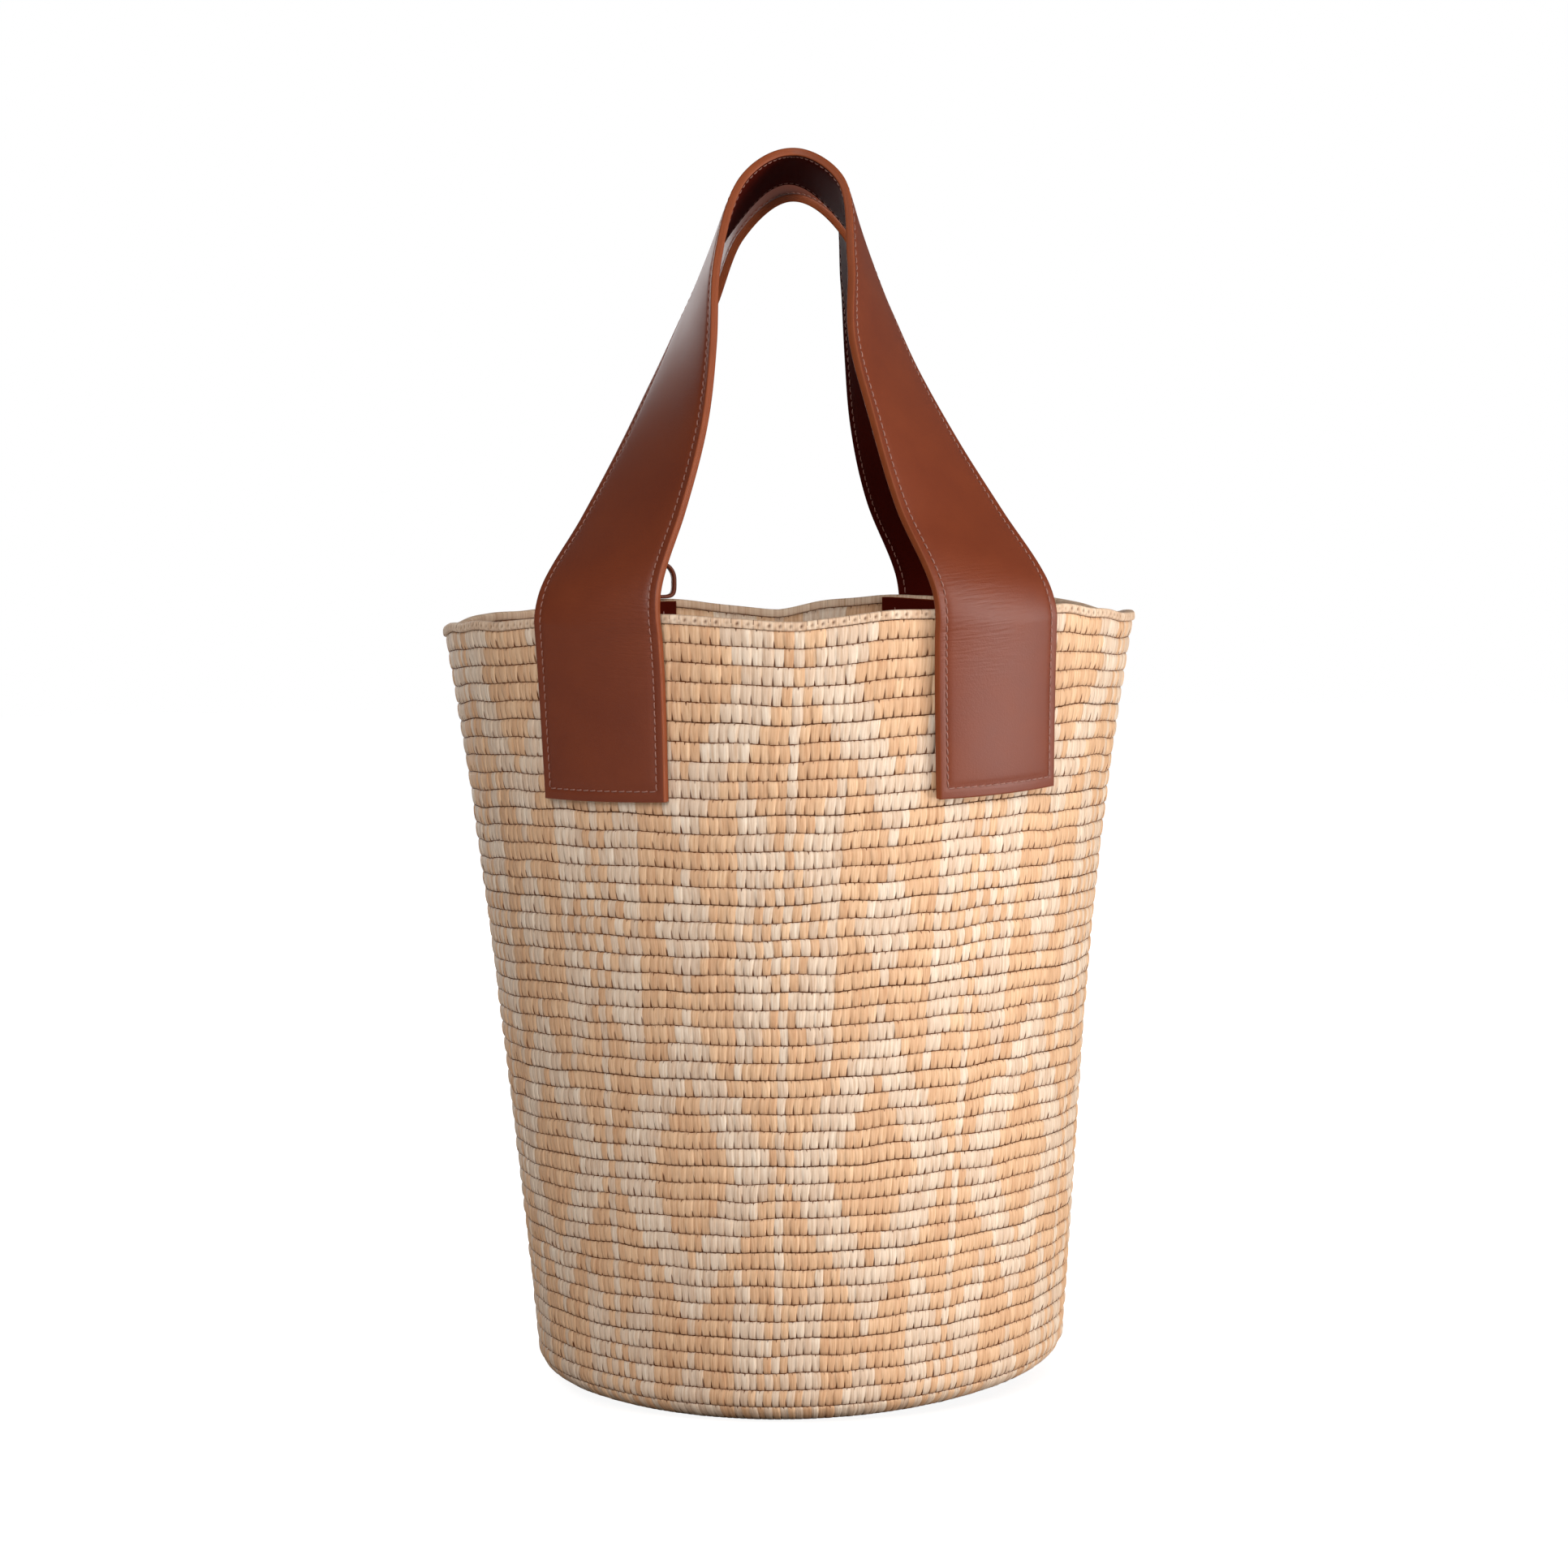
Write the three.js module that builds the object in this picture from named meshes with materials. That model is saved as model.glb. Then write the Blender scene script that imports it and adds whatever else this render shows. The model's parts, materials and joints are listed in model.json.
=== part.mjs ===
// A tall round raffia basket with two wide leather handles.
// Millimetres, +Z up. The origin is the middle of the base's underside, and the front faces -Y.
import * as THREE from 'three';

// Driving dimensions of the crocheted body
const bodyHeight = 332;
const baseRadius = 114.6;
const rimRadius = 152.4;
const rimFlare = 10.7;
const wallThickness = 4;
const baseThickness = 5;
const baseCornerRadius = 4;
const edgingHeight = 4.6;

// Driving dimensions of the leather
const strapWidth = 60;
const leatherThickness = 1.35;
const footLength = 75;
const footAngleDegrees = 32.1;
const footSlantDegrees = 5;
const crownRise = 193.5;
const handleGap = 3;
const crownPitchDegrees = -13;
const hingeRise = 5;
const patchSideMargin = 5.5;
const patchLength = 80;
const patchTopDrop = 2;

// Driving dimensions of the sewing thread
const threadWidth = 0.8;
const threadThickness = 0.5;
const seamInset = 3.5;
const bottomSeamInset = 4.6;

// Driving dimensions of the small loop on the back left foot
const loopWidth = 16.4;
const loopHeight = 19;
const loopStripThickness = 1.7;
const loopFootThickness = 3.2;
const loopStripWidth = 3.6;
const loopSideOffset = 60.4;
const loopInset = 5.3;

// Gap between pieces that touch
const clearance = 0.3;

// Steps of the round and long shapes
const roundSegments = 72;
const wallSteps = 8;
const cornerSteps = 3;
const handleSteps = 48;
const handleAcrossSteps = 4;
const footSteps = 7;
const footAcrossSteps = 6;
const loopArcSteps = 12;
const slopeProbe = 1;

// The handle's middle line from the rim to the crown, on one side. Each row holds shares of the way
// along the strap, of the foot's offset to the side, of the way back from crown to foot, and of the
// crown's rise, then the strap's turn about Z and its tilt in degrees.
const legStationShares = [
  { along: 0.077, side: 0.967, depth: 0.984, rise: 0.095, turn: 36.2, tilt: 2.1 },
  { along: 0.231, side: 0.79, depth: 0.81, rise: 0.252, turn: 41.2, tilt: -2.7 },
  { along: 0.385, side: 0.64, depth: 0.628, rise: 0.41, turn: 49.1, tilt: -9 },
  { along: 0.538, side: 0.522, depth: 0.447, rise: 0.572, turn: 59, tilt: -14.5 },
  { along: 0.692, side: 0.441, depth: 0.274, rise: 0.737, turn: 72.4, tilt: -18.4 },
  { along: 0.846, side: 0.327, depth: 0.104, rise: 0.899, turn: 83.7, tilt: -18.7 },
];
// The strap is curved across at its foot, and flat past this share of its length
const flatShare = 0.3;

const strapThickness = 2 * leatherThickness + clearance;
const upward = new THREE.Vector3(0, 0, 1);

function degrees(value) {
  return THREE.MathUtils.degToRad(value);
}

// Radius of the body's outer face at a height: straight sides that flare towards the rim
function wallRadiusAt(height) {
  const share = height / bodyHeight;
  const lean = rimRadius - baseRadius - rimFlare;
  return baseRadius + lean * share + rimFlare * share ** 3;
}

function wallSlopeAt(height) {
  const below = wallRadiusAt(height - slopeProbe);
  const above = wallRadiusAt(height + slopeProbe);
  return (above - below) / (2 * slopeProbe);
}

// Unit vector in a horizontal plane, turned by an angle from -Y towards +X
function radialAt(angle) {
  return new THREE.Vector3(Math.sin(angle), -Math.cos(angle), 0);
}

function tangentAt(angle) {
  return new THREE.Vector3(Math.cos(angle), Math.sin(angle), 0);
}

// Direction across the strap from its turn about Z and its tilt
function acrossFrom(turn, tilt) {
  const level = Math.cos(degrees(tilt));
  return new THREE.Vector3(
    Math.cos(degrees(turn)) * level,
    Math.sin(degrees(turn)) * level,
    Math.sin(degrees(tilt)),
  );
}

// How far the strap's outer face bulges between its edges where it follows the body
function crossBulge(radius) {
  return strapWidth ** 2 / (8 * radius);
}

// The strap on the body, a distance below the rim: its middle, its direction across and its outside
function footFrame(below, offWall) {
  const slant = degrees(footSlantDegrees);
  const height = bodyHeight - below * Math.cos(slant);
  const radius = wallRadiusAt(height) + offWall;
  const angle = degrees(footAngleDegrees) + (below * Math.sin(slant)) / radius;
  const radial = radialAt(angle);
  const rising = radial.clone().multiplyScalar(wallSlopeAt(height)).add(upward).normalize();
  const across = tangentAt(angle).multiplyScalar(Math.cos(slant));
  across.addScaledVector(rising, Math.sin(slant));
  const along = rising.multiplyScalar(Math.cos(slant));
  along.addScaledVector(tangentAt(angle), -Math.sin(slant));
  const bulge = crossBulge(radius);
  const centre = radial.multiplyScalar(radius - bulge);
  centre.z = height;
  const outside = new THREE.Vector3().crossVectors(across, along).normalize();
  return { centre, across, along, outside, bulge };
}

const strapOffWall = clearance + strapThickness;
const rimFrame = footFrame(0, strapOffWall);
const crownAcross = acrossFrom(90, crownPitchDegrees);
const crownDepth = -(handleGap + strapWidth * crownAcross.y) / 2;

function mirrored(vector) {
  return new THREE.Vector3(-vector.x, vector.y, vector.z);
}

// All the stations from one foot's rim point over the crown to the other's
function handleStations() {
  const leg = legStationShares.map((station) => ({
    along: station.along,
    centre: new THREE.Vector3(
      rimFrame.centre.x * station.side,
      THREE.MathUtils.lerp(crownDepth, rimFrame.centre.y, station.depth),
      bodyHeight + crownRise * station.rise,
    ),
    across: acrossFrom(station.turn, station.tilt),
  }));
  const foot = { along: 0, centre: rimFrame.centre, across: rimFrame.across };
  const crown = {
    along: 1,
    centre: new THREE.Vector3(0, crownDepth, bodyHeight + crownRise),
    across: crownAcross,
  };
  const half = [foot, ...leg];
  const otherHalf = half.map((station) => ({
    along: 2 - station.along,
    centre: mirrored(station.centre),
    across: mirrored(station.across),
  }));
  return [...half, crown, ...otherHalf.reverse()];
}

const stations = handleStations();

function stationSlope(index, key) {
  const before = stations[Math.max(index - 1, 0)];
  const after = stations[Math.min(index + 1, stations.length - 1)];
  const slope = after[key].clone().sub(before[key]);
  return slope.divideScalar(after.along - before.along);
}

// At its two ends the middle line leaves the rim in line with the foot
function centreSlope(index) {
  const slope = stationSlope(index, 'centre');
  if (index === 0) {
    return rimFrame.along.clone().multiplyScalar(slope.length());
  }
  if (index === stations.length - 1) {
    return mirrored(rimFrame.along).multiplyScalar(-slope.length());
  }
  return slope;
}

// Cubic curve between two stations, from their places and slopes
function hermite(start, end, startSlope, endSlope, span, share) {
  const squared = share * share;
  const cubed = squared * share;
  return start.clone().multiplyScalar(2 * cubed - 3 * squared + 1)
    .addScaledVector(startSlope, (cubed - 2 * squared + share) * span)
    .addScaledVector(end, 3 * squared - 2 * cubed)
    .addScaledVector(endSlope, (cubed - squared) * span);
}

function handleCentre(along) {
  let index = stations.findIndex((station) => station.along > along) - 1;
  if (index < 0) {
    index = stations.length - 2;
  }
  const start = stations[index];
  const end = stations[index + 1];
  const span = end.along - start.along;
  const share = (along - start.along) / span;
  const centre = hermite(start.centre, end.centre, centreSlope(index), centreSlope(index + 1),
    span, share);
  const across = hermite(start.across, end.across, stationSlope(index, 'across'),
    stationSlope(index + 1, 'across'), span, share);
  return { centre, across };
}

// The free part of the strap: 0 is one foot's rim point, 1 the crown and 2 the other foot's
function handleFrame(along) {
  const probe = 1 / (handleSteps * handleSteps);
  const here = handleCentre(along);
  const ahead = handleCentre(Math.min(along + probe, 2)).centre;
  const behind = handleCentre(Math.max(along - probe, 0)).centre;
  const direction = ahead.sub(behind).normalize();
  const across = here.across;
  across.addScaledVector(direction, -across.dot(direction)).normalize();
  const outside = new THREE.Vector3().crossVectors(across, direction);
  const fromFoot = Math.min(along, 2 - along);
  const fade = 1 - THREE.MathUtils.smoothstep(fromFoot, 0, flatShare);
  return { centre: here.centre, across, outside, bulge: rimFrame.bulge * fade };
}

// A point of the strap: share runs from -1 to 1 across it, and depth goes in from its outer face
function strapPoint(frame, share, depth) {
  const lift = frame.bulge * (1 - share * share) - depth;
  return frame.centre.clone()
    .addScaledVector(frame.across, (share * strapWidth) / 2)
    .addScaledVector(frame.outside, lift);
}

// A closed slab over rows of surface points, each a frame and a share across, between two depths.
// Both of its faces are split along the same diagonals, so that layers lie evenly on each other.
function slabOverRows(rows, outerDepth, innerDepth) {
  const positions = [];
  const indices = [];
  const acrossSteps = rows[0].length - 1;
  const ring = 2 * rows[0].length;
  for (const row of rows) {
    for (const spot of row) {
      positions.push(...strapPoint(spot.frame, spot.share, outerDepth).toArray());
    }
    for (const spot of [...row].reverse()) {
      positions.push(...strapPoint(spot.frame, spot.share, innerDepth).toArray());
    }
  }
  for (let row = 0; row < rows.length - 1; row += 1) {
    for (let side = 0; side < ring; side += 1) {
      const next = (side + 1) % ring;
      const a = row * ring + side;
      const b = row * ring + next;
      const c = a + ring;
      const d = b + ring;
      if (side < ring / 2) {
        indices.push(a, b, d, a, d, c);
      } else {
        indices.push(a, b, c, b, d, c);
      }
    }
  }
  const lastRow = (rows.length - 1) * ring;
  for (let step = 0; step < acrossSteps; step += 1) {
    const low = step;
    const high = ring - 1 - step;
    indices.push(low, high, high - 1, low, high - 1, low + 1);
    indices.push(lastRow + low, lastRow + high - 1, lastRow + high);
    indices.push(lastRow + low, lastRow + low + 1, lastRow + high - 1);
  }
  const geometry = new THREE.BufferGeometry();
  geometry.setAttribute('position', new THREE.Float32BufferAttribute(positions, 3));
  geometry.setIndex(indices);
  geometry.computeVertexNormals();
  return geometry;
}

// A slab through a list of frames, between two shares across and two depths
function slabGeometry(frames, acrossSteps, shareFrom, shareTo, outerDepth, innerDepth) {
  const rows = frames.map((frame) => (
    evenly(acrossSteps, shareFrom, shareTo, (share) => ({ frame, share }))
  ));
  return slabOverRows(rows, outerDepth, innerDepth);
}

function evenly(steps, from, to, make) {
  return Array.from({ length: steps + 1 }, (_, step) => (
    make(THREE.MathUtils.lerp(from, to, step / steps))
  ));
}

// The body's outline turned round the Z axis, from a closed list of radius and height pairs
function turned(points, name) {
  const outline = points.map(([radius, height]) => new THREE.Vector2(radius, height));
  const geometry = new THREE.LatheGeometry(outline, roundSegments);
  geometry.rotateX(Math.PI / 2);
  return namedMesh(geometry, name, 'raffia');
}

const materials = {
  raffia: { color: 0xe6c8a0, roughness: 0.85, metalness: 0 },
  outerLeather: { color: 0x8a4a2c, roughness: 0.5, metalness: 0 },
  liningLeather: { color: 0x6a2c1c, roughness: 0.6, metalness: 0 },
  thread: { color: 0xc09888, roughness: 0.7, metalness: 0 },
};

function namedMesh(geometry, name, slot) {
  const mesh = new THREE.Mesh(geometry, new THREE.MeshStandardMaterial(materials[slot]));
  mesh.name = name;
  return mesh;
}

// The crocheted wall: a flaring tube with a rounded lower corner, open at top and bottom
function makeWall() {
  const top = bodyHeight - edgingHeight - clearance;
  const outer = evenly(wallSteps, baseCornerRadius, top, (height) => [wallRadiusAt(height), height]);
  const inner = evenly(wallSteps, top, 0, (height) => [wallRadiusAt(height) - wallThickness, height]);
  const cornerMiddle = wallRadiusAt(baseCornerRadius) - baseCornerRadius;
  const corner = evenly(cornerSteps, -Math.PI / 2, 0, (angle) => [
    cornerMiddle + baseCornerRadius * Math.cos(angle),
    baseCornerRadius + baseCornerRadius * Math.sin(angle),
  ]);
  const profile = [...corner, ...outer.slice(1), ...inner];
  return turned([...profile, profile[0]], 'raffia_wall');
}

// The round base: a flat crocheted disc inside the wall's lower end
function makeBase() {
  const radius = wallRadiusAt(0) - wallThickness - clearance;
  return turned([[0, 0], [radius, 0], [radius, baseThickness], [0, baseThickness]], 'raffia_base');
}

// The chained edging that lies along the rim
function makeEdging() {
  const bottom = bodyHeight - edgingHeight;
  const inner = wallRadiusAt(bodyHeight) - wallThickness;
  const outer = wallRadiusAt(bodyHeight);
  const lowInner = wallRadiusAt(bottom) - wallThickness;
  const lowOuter = wallRadiusAt(bottom);
  const profile = [[lowInner, bottom], [lowOuter, bottom], [outer, bodyHeight], [inner, bodyHeight]];
  return turned([...profile, profile[0]], 'rim_edging');
}

// Shares of the strap's length, from the rim, where the foot ends and the moving handle begins
const halfLength = rimFrame.centre.distanceTo(stations[1].centre) / stations[1].along;
const footEndAlong = (hingeRise - clearance) / halfLength;
const handleStartAlong = hingeRise / halfLength;

// The right foot as frames from its lower end to just above the rim
function footFrames(lowerEnd) {
  const onWall = evenly(footSteps, lowerEnd, 0, (below) => footFrame(below, strapOffWall));
  return [...onWall, handleFrame(footEndAlong)];
}

// A thread's inner and outer shares across the strap, on the side towards share 1
const threadInnerShare = 1 - (2 * seamInset + threadWidth) / strapWidth;
const threadOuterShare = 1 - (2 * seamInset - threadWidth) / strapWidth;
const threadTop = -clearance - threadThickness;

// The seam round a foot: down one side, across its lower end and up the other, as one thread
function footSeamGeometry() {
  const innerEnd = footLength - bottomSeamInset - threadWidth / 2;
  const outerEnd = footLength - bottomSeamInset + threadWidth / 2;
  const innerFrame = footFrame(innerEnd, strapOffWall);
  const outerFrame = footFrame(outerEnd, strapOffWall);
  const upFrames = footFrames(innerEnd).slice(1);
  const sideRows = (frames, side) => frames.map((frame) => [
    { frame, share: side * threadInnerShare },
    { frame, share: side * threadOuterShare },
  ]);
  const endRows = evenly(footAcrossSteps, -1, 1, (share) => [
    { frame: innerFrame, share: share * threadInnerShare },
    { frame: outerFrame, share: share * threadOuterShare },
  ]);
  const rows = [...sideRows([...upFrames].reverse(), -1), ...endRows, ...sideRows(upFrames, 1)];
  return slabOverRows(rows, threadTop, -clearance);
}

// The seam along one edge of the moving part of the strap
function handleSeamGeometry(frames, side) {
  const shares = [side * threadInnerShare, side * threadOuterShare].sort((a, b) => a - b);
  return slabGeometry(frames, 1, shares[0], shares[1], threadTop, -clearance);
}

function makeFootPieces(name) {
  const pieces = new THREE.Group();
  const frames = footFrames(footLength);
  const liningTop = leatherThickness + clearance;
  const outer = slabGeometry(frames, footAcrossSteps, -1, 1, 0, leatherThickness);
  const lining = slabGeometry(frames, footAcrossSteps, -1, 1, liningTop, strapThickness);
  pieces.add(namedMesh(outer, `${name}_foot_outer`, 'outerLeather'));
  pieces.add(namedMesh(lining, `${name}_foot_lining`, 'liningLeather'));
  pieces.add(namedMesh(footSeamGeometry(), `${name}_foot_seam`, 'thread'));
  pieces.add(makePatch(`${name}_inner_patch`));
  return pieces;
}

// The leather patch on the inside of the wall, behind a foot
function makePatch(name) {
  const offWall = -wallThickness - clearance;
  const top = edgingHeight + patchTopDrop;
  const frames = evenly(footSteps, patchLength, top, (below) => footFrame(below, offWall));
  const reach = 1 + (2 * patchSideMargin) / strapWidth;
  const patch = slabGeometry(frames, footAcrossSteps, -reach, reach, 0, leatherThickness);
  return namedMesh(patch, name, 'liningLeather');
}

// The left foot is the right one's mirror image, with its faces turned the right way round again
function mirrorGeometry(geometry) {
  const position = geometry.getAttribute('position');
  for (let index = 0; index < position.count; index += 1) {
    position.setX(index, -position.getX(index));
  }
  const corners = geometry.getIndex();
  for (let index = 0; index < corners.count; index += 3) {
    const first = corners.getX(index);
    corners.setX(index, corners.getX(index + 1));
    corners.setX(index + 1, first);
  }
  geometry.computeVertexNormals();
}

function makeMirroredFoot(name) {
  const pieces = makeFootPieces(name);
  pieces.children.forEach((mesh) => mirrorGeometry(mesh.geometry));
  return pieces;
}

// The moving part of one strap: two layers of leather and a seam along each edge
function makeHandle(name) {
  const pieces = new THREE.Group();
  const frames = evenly(handleSteps, handleStartAlong, 2 - handleStartAlong, handleFrame);
  const liningTop = leatherThickness + clearance;
  const outer = slabGeometry(frames, handleAcrossSteps, -1, 1, 0, leatherThickness);
  const lining = slabGeometry(frames, handleAcrossSteps, -1, 1, liningTop, strapThickness);
  pieces.add(namedMesh(outer, `${name}_handle_outer`, 'outerLeather'));
  pieces.add(namedMesh(lining, `${name}_handle_lining`, 'liningLeather'));
  pieces.add(namedMesh(handleSeamGeometry(frames, -1), `${name}_handle_outward_seam`, 'thread'));
  pieces.add(namedMesh(handleSeamGeometry(frames, 1), `${name}_handle_middle_seam`, 'thread'));
  return pieces;
}

// A closed outline with a flat foot, straight sides and a half-round top
function loopOutline(path, halfWidth, footHeight, archHeight) {
  path.moveTo(-halfWidth, footHeight);
  path.lineTo(halfWidth, footHeight);
  path.lineTo(halfWidth, archHeight);
  path.absarc(0, archHeight, halfWidth, 0, Math.PI, false);
  path.lineTo(-halfWidth, footHeight);
  return path;
}

// The small leather loop that stands on the rim beside the back left foot
function makeLoop() {
  const archHeight = loopHeight - loopWidth / 2;
  const shape = loopOutline(new THREE.Shape(), loopWidth / 2, 0, archHeight);
  const hole = loopOutline(new THREE.Path(), loopWidth / 2 - loopStripThickness,
    loopFootThickness, archHeight);
  shape.holes.push(hole);
  const geometry = new THREE.ExtrudeGeometry(shape, {
    depth: loopStripWidth,
    bevelEnabled: false,
    curveSegments: loopArcSteps,
  });
  geometry.translate(0, 0, -loopStripWidth / 2);
  geometry.rotateX(Math.PI / 2);
  const radius = rimRadius - loopInset;
  const angle = Math.asin(loopSideOffset / radius);
  geometry.rotateZ(angle);
  const loop = namedMesh(geometry, 'small_loop', 'liningLeather');
  loop.position.set(-radius * Math.sin(angle), radius * Math.cos(angle), bodyHeight + clearance);
  return loop;
}

const basket = new THREE.Group();
basket.add(makeWall(), makeBase(), makeEdging(), makeLoop());

const frontStrap = new THREE.Group();
frontStrap.add(makeMirroredFoot('front_left'), makeFootPieces('front_right'), makeHandle('front'));
basket.add(frontStrap);

// The back strap is the front one turned half round, so its feet change sides
const backStrap = new THREE.Group();
backStrap.add(makeMirroredFoot('back_right'), makeFootPieces('back_left'), makeHandle('back'));
backStrap.rotation.z = Math.PI;
basket.add(backStrap);

export default basket;
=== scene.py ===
"""A tall crocheted raffia basket with two wide leather straps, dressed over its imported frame.

Everything is in metres, +Z up, with the front towards -Y. The body is worked in rounds of
stitches, and each leather strap is one long strip from foot to foot.
"""

import json
import math
from typing import NamedTuple

import bpy
import numpy as np
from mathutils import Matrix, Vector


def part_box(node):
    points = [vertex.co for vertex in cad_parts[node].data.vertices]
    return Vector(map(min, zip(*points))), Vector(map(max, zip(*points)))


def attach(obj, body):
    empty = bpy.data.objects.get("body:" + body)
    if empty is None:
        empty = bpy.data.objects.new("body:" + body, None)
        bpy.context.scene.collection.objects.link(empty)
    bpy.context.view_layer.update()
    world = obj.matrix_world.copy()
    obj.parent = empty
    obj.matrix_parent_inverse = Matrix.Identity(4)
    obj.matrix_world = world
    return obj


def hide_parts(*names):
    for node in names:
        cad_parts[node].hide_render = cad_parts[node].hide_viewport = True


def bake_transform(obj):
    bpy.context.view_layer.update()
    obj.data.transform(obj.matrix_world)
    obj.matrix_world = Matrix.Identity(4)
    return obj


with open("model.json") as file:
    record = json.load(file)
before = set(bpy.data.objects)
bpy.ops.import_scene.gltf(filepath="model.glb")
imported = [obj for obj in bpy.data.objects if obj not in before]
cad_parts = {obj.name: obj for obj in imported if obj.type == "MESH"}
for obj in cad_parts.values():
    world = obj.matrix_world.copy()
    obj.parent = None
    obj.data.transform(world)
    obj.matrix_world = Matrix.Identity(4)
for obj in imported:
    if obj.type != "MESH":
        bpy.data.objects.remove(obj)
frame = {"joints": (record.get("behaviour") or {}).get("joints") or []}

bl_info = {
    "name": "Crocheted Basket",
    "version": (1, 0, 0),
    "blender": (4, 5, 0),
    "location": "View3D > Sidebar > Basket",
    "description": "Crochets the basket's raffia body and sews its leather straps",
    "category": "Add Mesh",
}

FULL_TURN = 2 * math.pi


def linear(code):
    """Turns an sRGB hex colour into linear red, green, blue and alpha, by the sRGB curve."""
    shares = [int(code[i:i + 2], 16) / 255 for i in (1, 3, 5)]
    curve = [s / 12.92 if s <= 0.04045 else ((s + 0.055) / 1.055) ** 2.4 for s in shares]
    return (*curve, 1.0)


# Sizes that come from the frame
RIM_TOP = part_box("rim_edging")[1]
EDGING_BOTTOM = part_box("rim_edging")[0].z
BASE_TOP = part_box("raffia_base")[1]
HINGES = {joint["child"]: joint["pos_m"] for joint in frame["joints"]}


# Settings


def metres(name, description, default):
    """A setting that is a length."""
    return bpy.props.FloatProperty(
        name=name, description=description, default=default, unit="LENGTH")


def degrees(name, description, default):
    """A setting that is an angle, whose default is given in degrees."""
    return bpy.props.FloatProperty(
        name=name, description=description, default=math.radians(default), unit="ROTATION")


def factor(name, description, default):
    """A setting that is a plain number."""
    return bpy.props.FloatProperty(name=name, description=description, default=default)


def whole(name, description, default):
    """A setting that is a whole number."""
    return bpy.props.IntProperty(name=name, description=description, default=default)


def dye(name, description, default):
    """A setting that is a colour, whose default is an sRGB hex code."""
    return bpy.props.FloatVectorProperty(
        name=name, description=description, subtype="COLOR", size=4, default=linear(default))


class BodySettings(bpy.types.PropertyGroup):
    """Sizes and colours of the crocheted body."""

    height: metres("Height", "From the floor to the rim", RIM_TOP.z)
    rim_radius: metres("Rim Radius", "Outer radius at the rim", RIM_TOP.x)
    wall_thickness: metres("Wall Thickness", "Thickness of the crocheted fabric", 0.004)
    edging_height: metres("Edging Height", "Height of the chained edging", 0.0037)
    clearance: metres("Clearance", "Gap between pieces that touch", 0.0003)
    rim_flare: metres("Rim Flare", "How far the wall curves outwards up to the rim", 0.0107)
    corner_radius: metres("Corner Radius", "Rounding where the wall meets the base", 0.012)
    stitches: whole("Stitches", "Stitches in each round of the wall", 220)
    rounds: whole("Rounds", "Rounds of stitches in the wall", 45)
    base_rounds: whole("Base Rounds", "Rounds of stitches in the base", 15)
    repeat_stitches: whole("Repeat Across", "Stitches in one repeat of the diamonds", 22)
    repeat_rounds: whole("Repeat Up", "Rounds in one repeat of the diamonds", 28)
    pattern_turn: degrees("Pattern Turn", "Where the first dashed column starts", -8.2)
    round_lean: factor("Lean", "Share of a stitch by which each round moves on", 0.101)
    rim_wave: metres("Rim Wave", "How far the straps pull the rim up", 0.0024)
    foot_pull: metres("Foot Pull", "How far each foot pulls the rim up beside it", 0.004)
    round_tilt: metres("Round Tilt", "How much higher the rounds lie on the right", 0.0027)
    side_lift: metres("Side Lift", "How far both sides of the base stand up", 0.0056)
    side_draw: metres("Side Draw", "How far the straps draw the rim's sides in", 0.0015)
    base_aside: metres("Base Aside", "How far the base stands to one side of the rim", 0.0026)
    seed: whole("Seed", "Seed of the uneven hand work", 11)
    cream: dye("Cream", "Raffia of the diamonds", "#F3E3D2")
    peach: dye("Peach", "Raffia of the ground", "#EFCCAA")
    gap: dye("Gaps", "Shadowed raffia between the stitches", "#5E2D08")


class StrapSettings(bpy.types.PropertyGroup):
    """Sizes and colours of the leather straps."""

    width: metres("Width", "Width of each strap", 0.060)
    leather: metres("Leather", "Thickness of one layer", 0.00135)
    thickness: metres("Thickness", "Both layers together", 0.0034)
    foot_length: metres("Foot Length", "From the rim to the foot's lower end", 0.0715)
    foot_angle: degrees("Foot Angle", "Turn of each foot from the middle of its side", 32.1)
    foot_slant: degrees("Foot Slant", "Lean of each foot on the wall", 5)
    crown_rise: metres("Crown Rise", "From the rim to the middle of the crown", 0.1935)
    handle_gap: metres("Handle Gap", "Between the two crowns", 0.003)
    crown_pitch: degrees("Crown Pitch", "Slope of the crown to the other strap", -13)
    left_foot_cut: degrees("Left Foot Cut", "Slant of the left foot's lower end", 5)
    right_foot_cut: degrees("Right Foot Cut", "Slant of the right foot's lower end", 2.3)
    seam_inset: metres("Seam Inset", "From a long edge to its seam", 0.0035)
    end_seam_inset: metres("End Seam Inset", "From a foot's end to its seam", 0.0046)
    stitch_pitch: metres("Stitch Pitch", "Length of one sewn stitch with its gap", 0.0035)
    thread: metres("Thread", "Diameter of the sewing thread", 0.0006)
    patch_margin: metres("Patch Margin", "How far a patch reaches past its foot", 0.0030)
    patch_length: metres("Patch Length", "From the rim to a patch's lower end", 0.080)
    patch_drop: metres("Patch Drop", "From the edging to a patch's upper end", -0.0036)
    outer: dye("Outer Leather", "Colour of the outside", "#742E08")
    # The lining's colour is partly painted shade, darkened for the shaded undersides of the crowns
    # and the inside of the wall
    lining: dye("Lining Leather", "Colour of the inside", "#480E05")
    edge: dye("Edge Paint", "Colour of the painted edges", "#8A431F")
    thread_colour: dye("Thread Colour", "Colour of the waxed thread", "#A87668")


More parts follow.
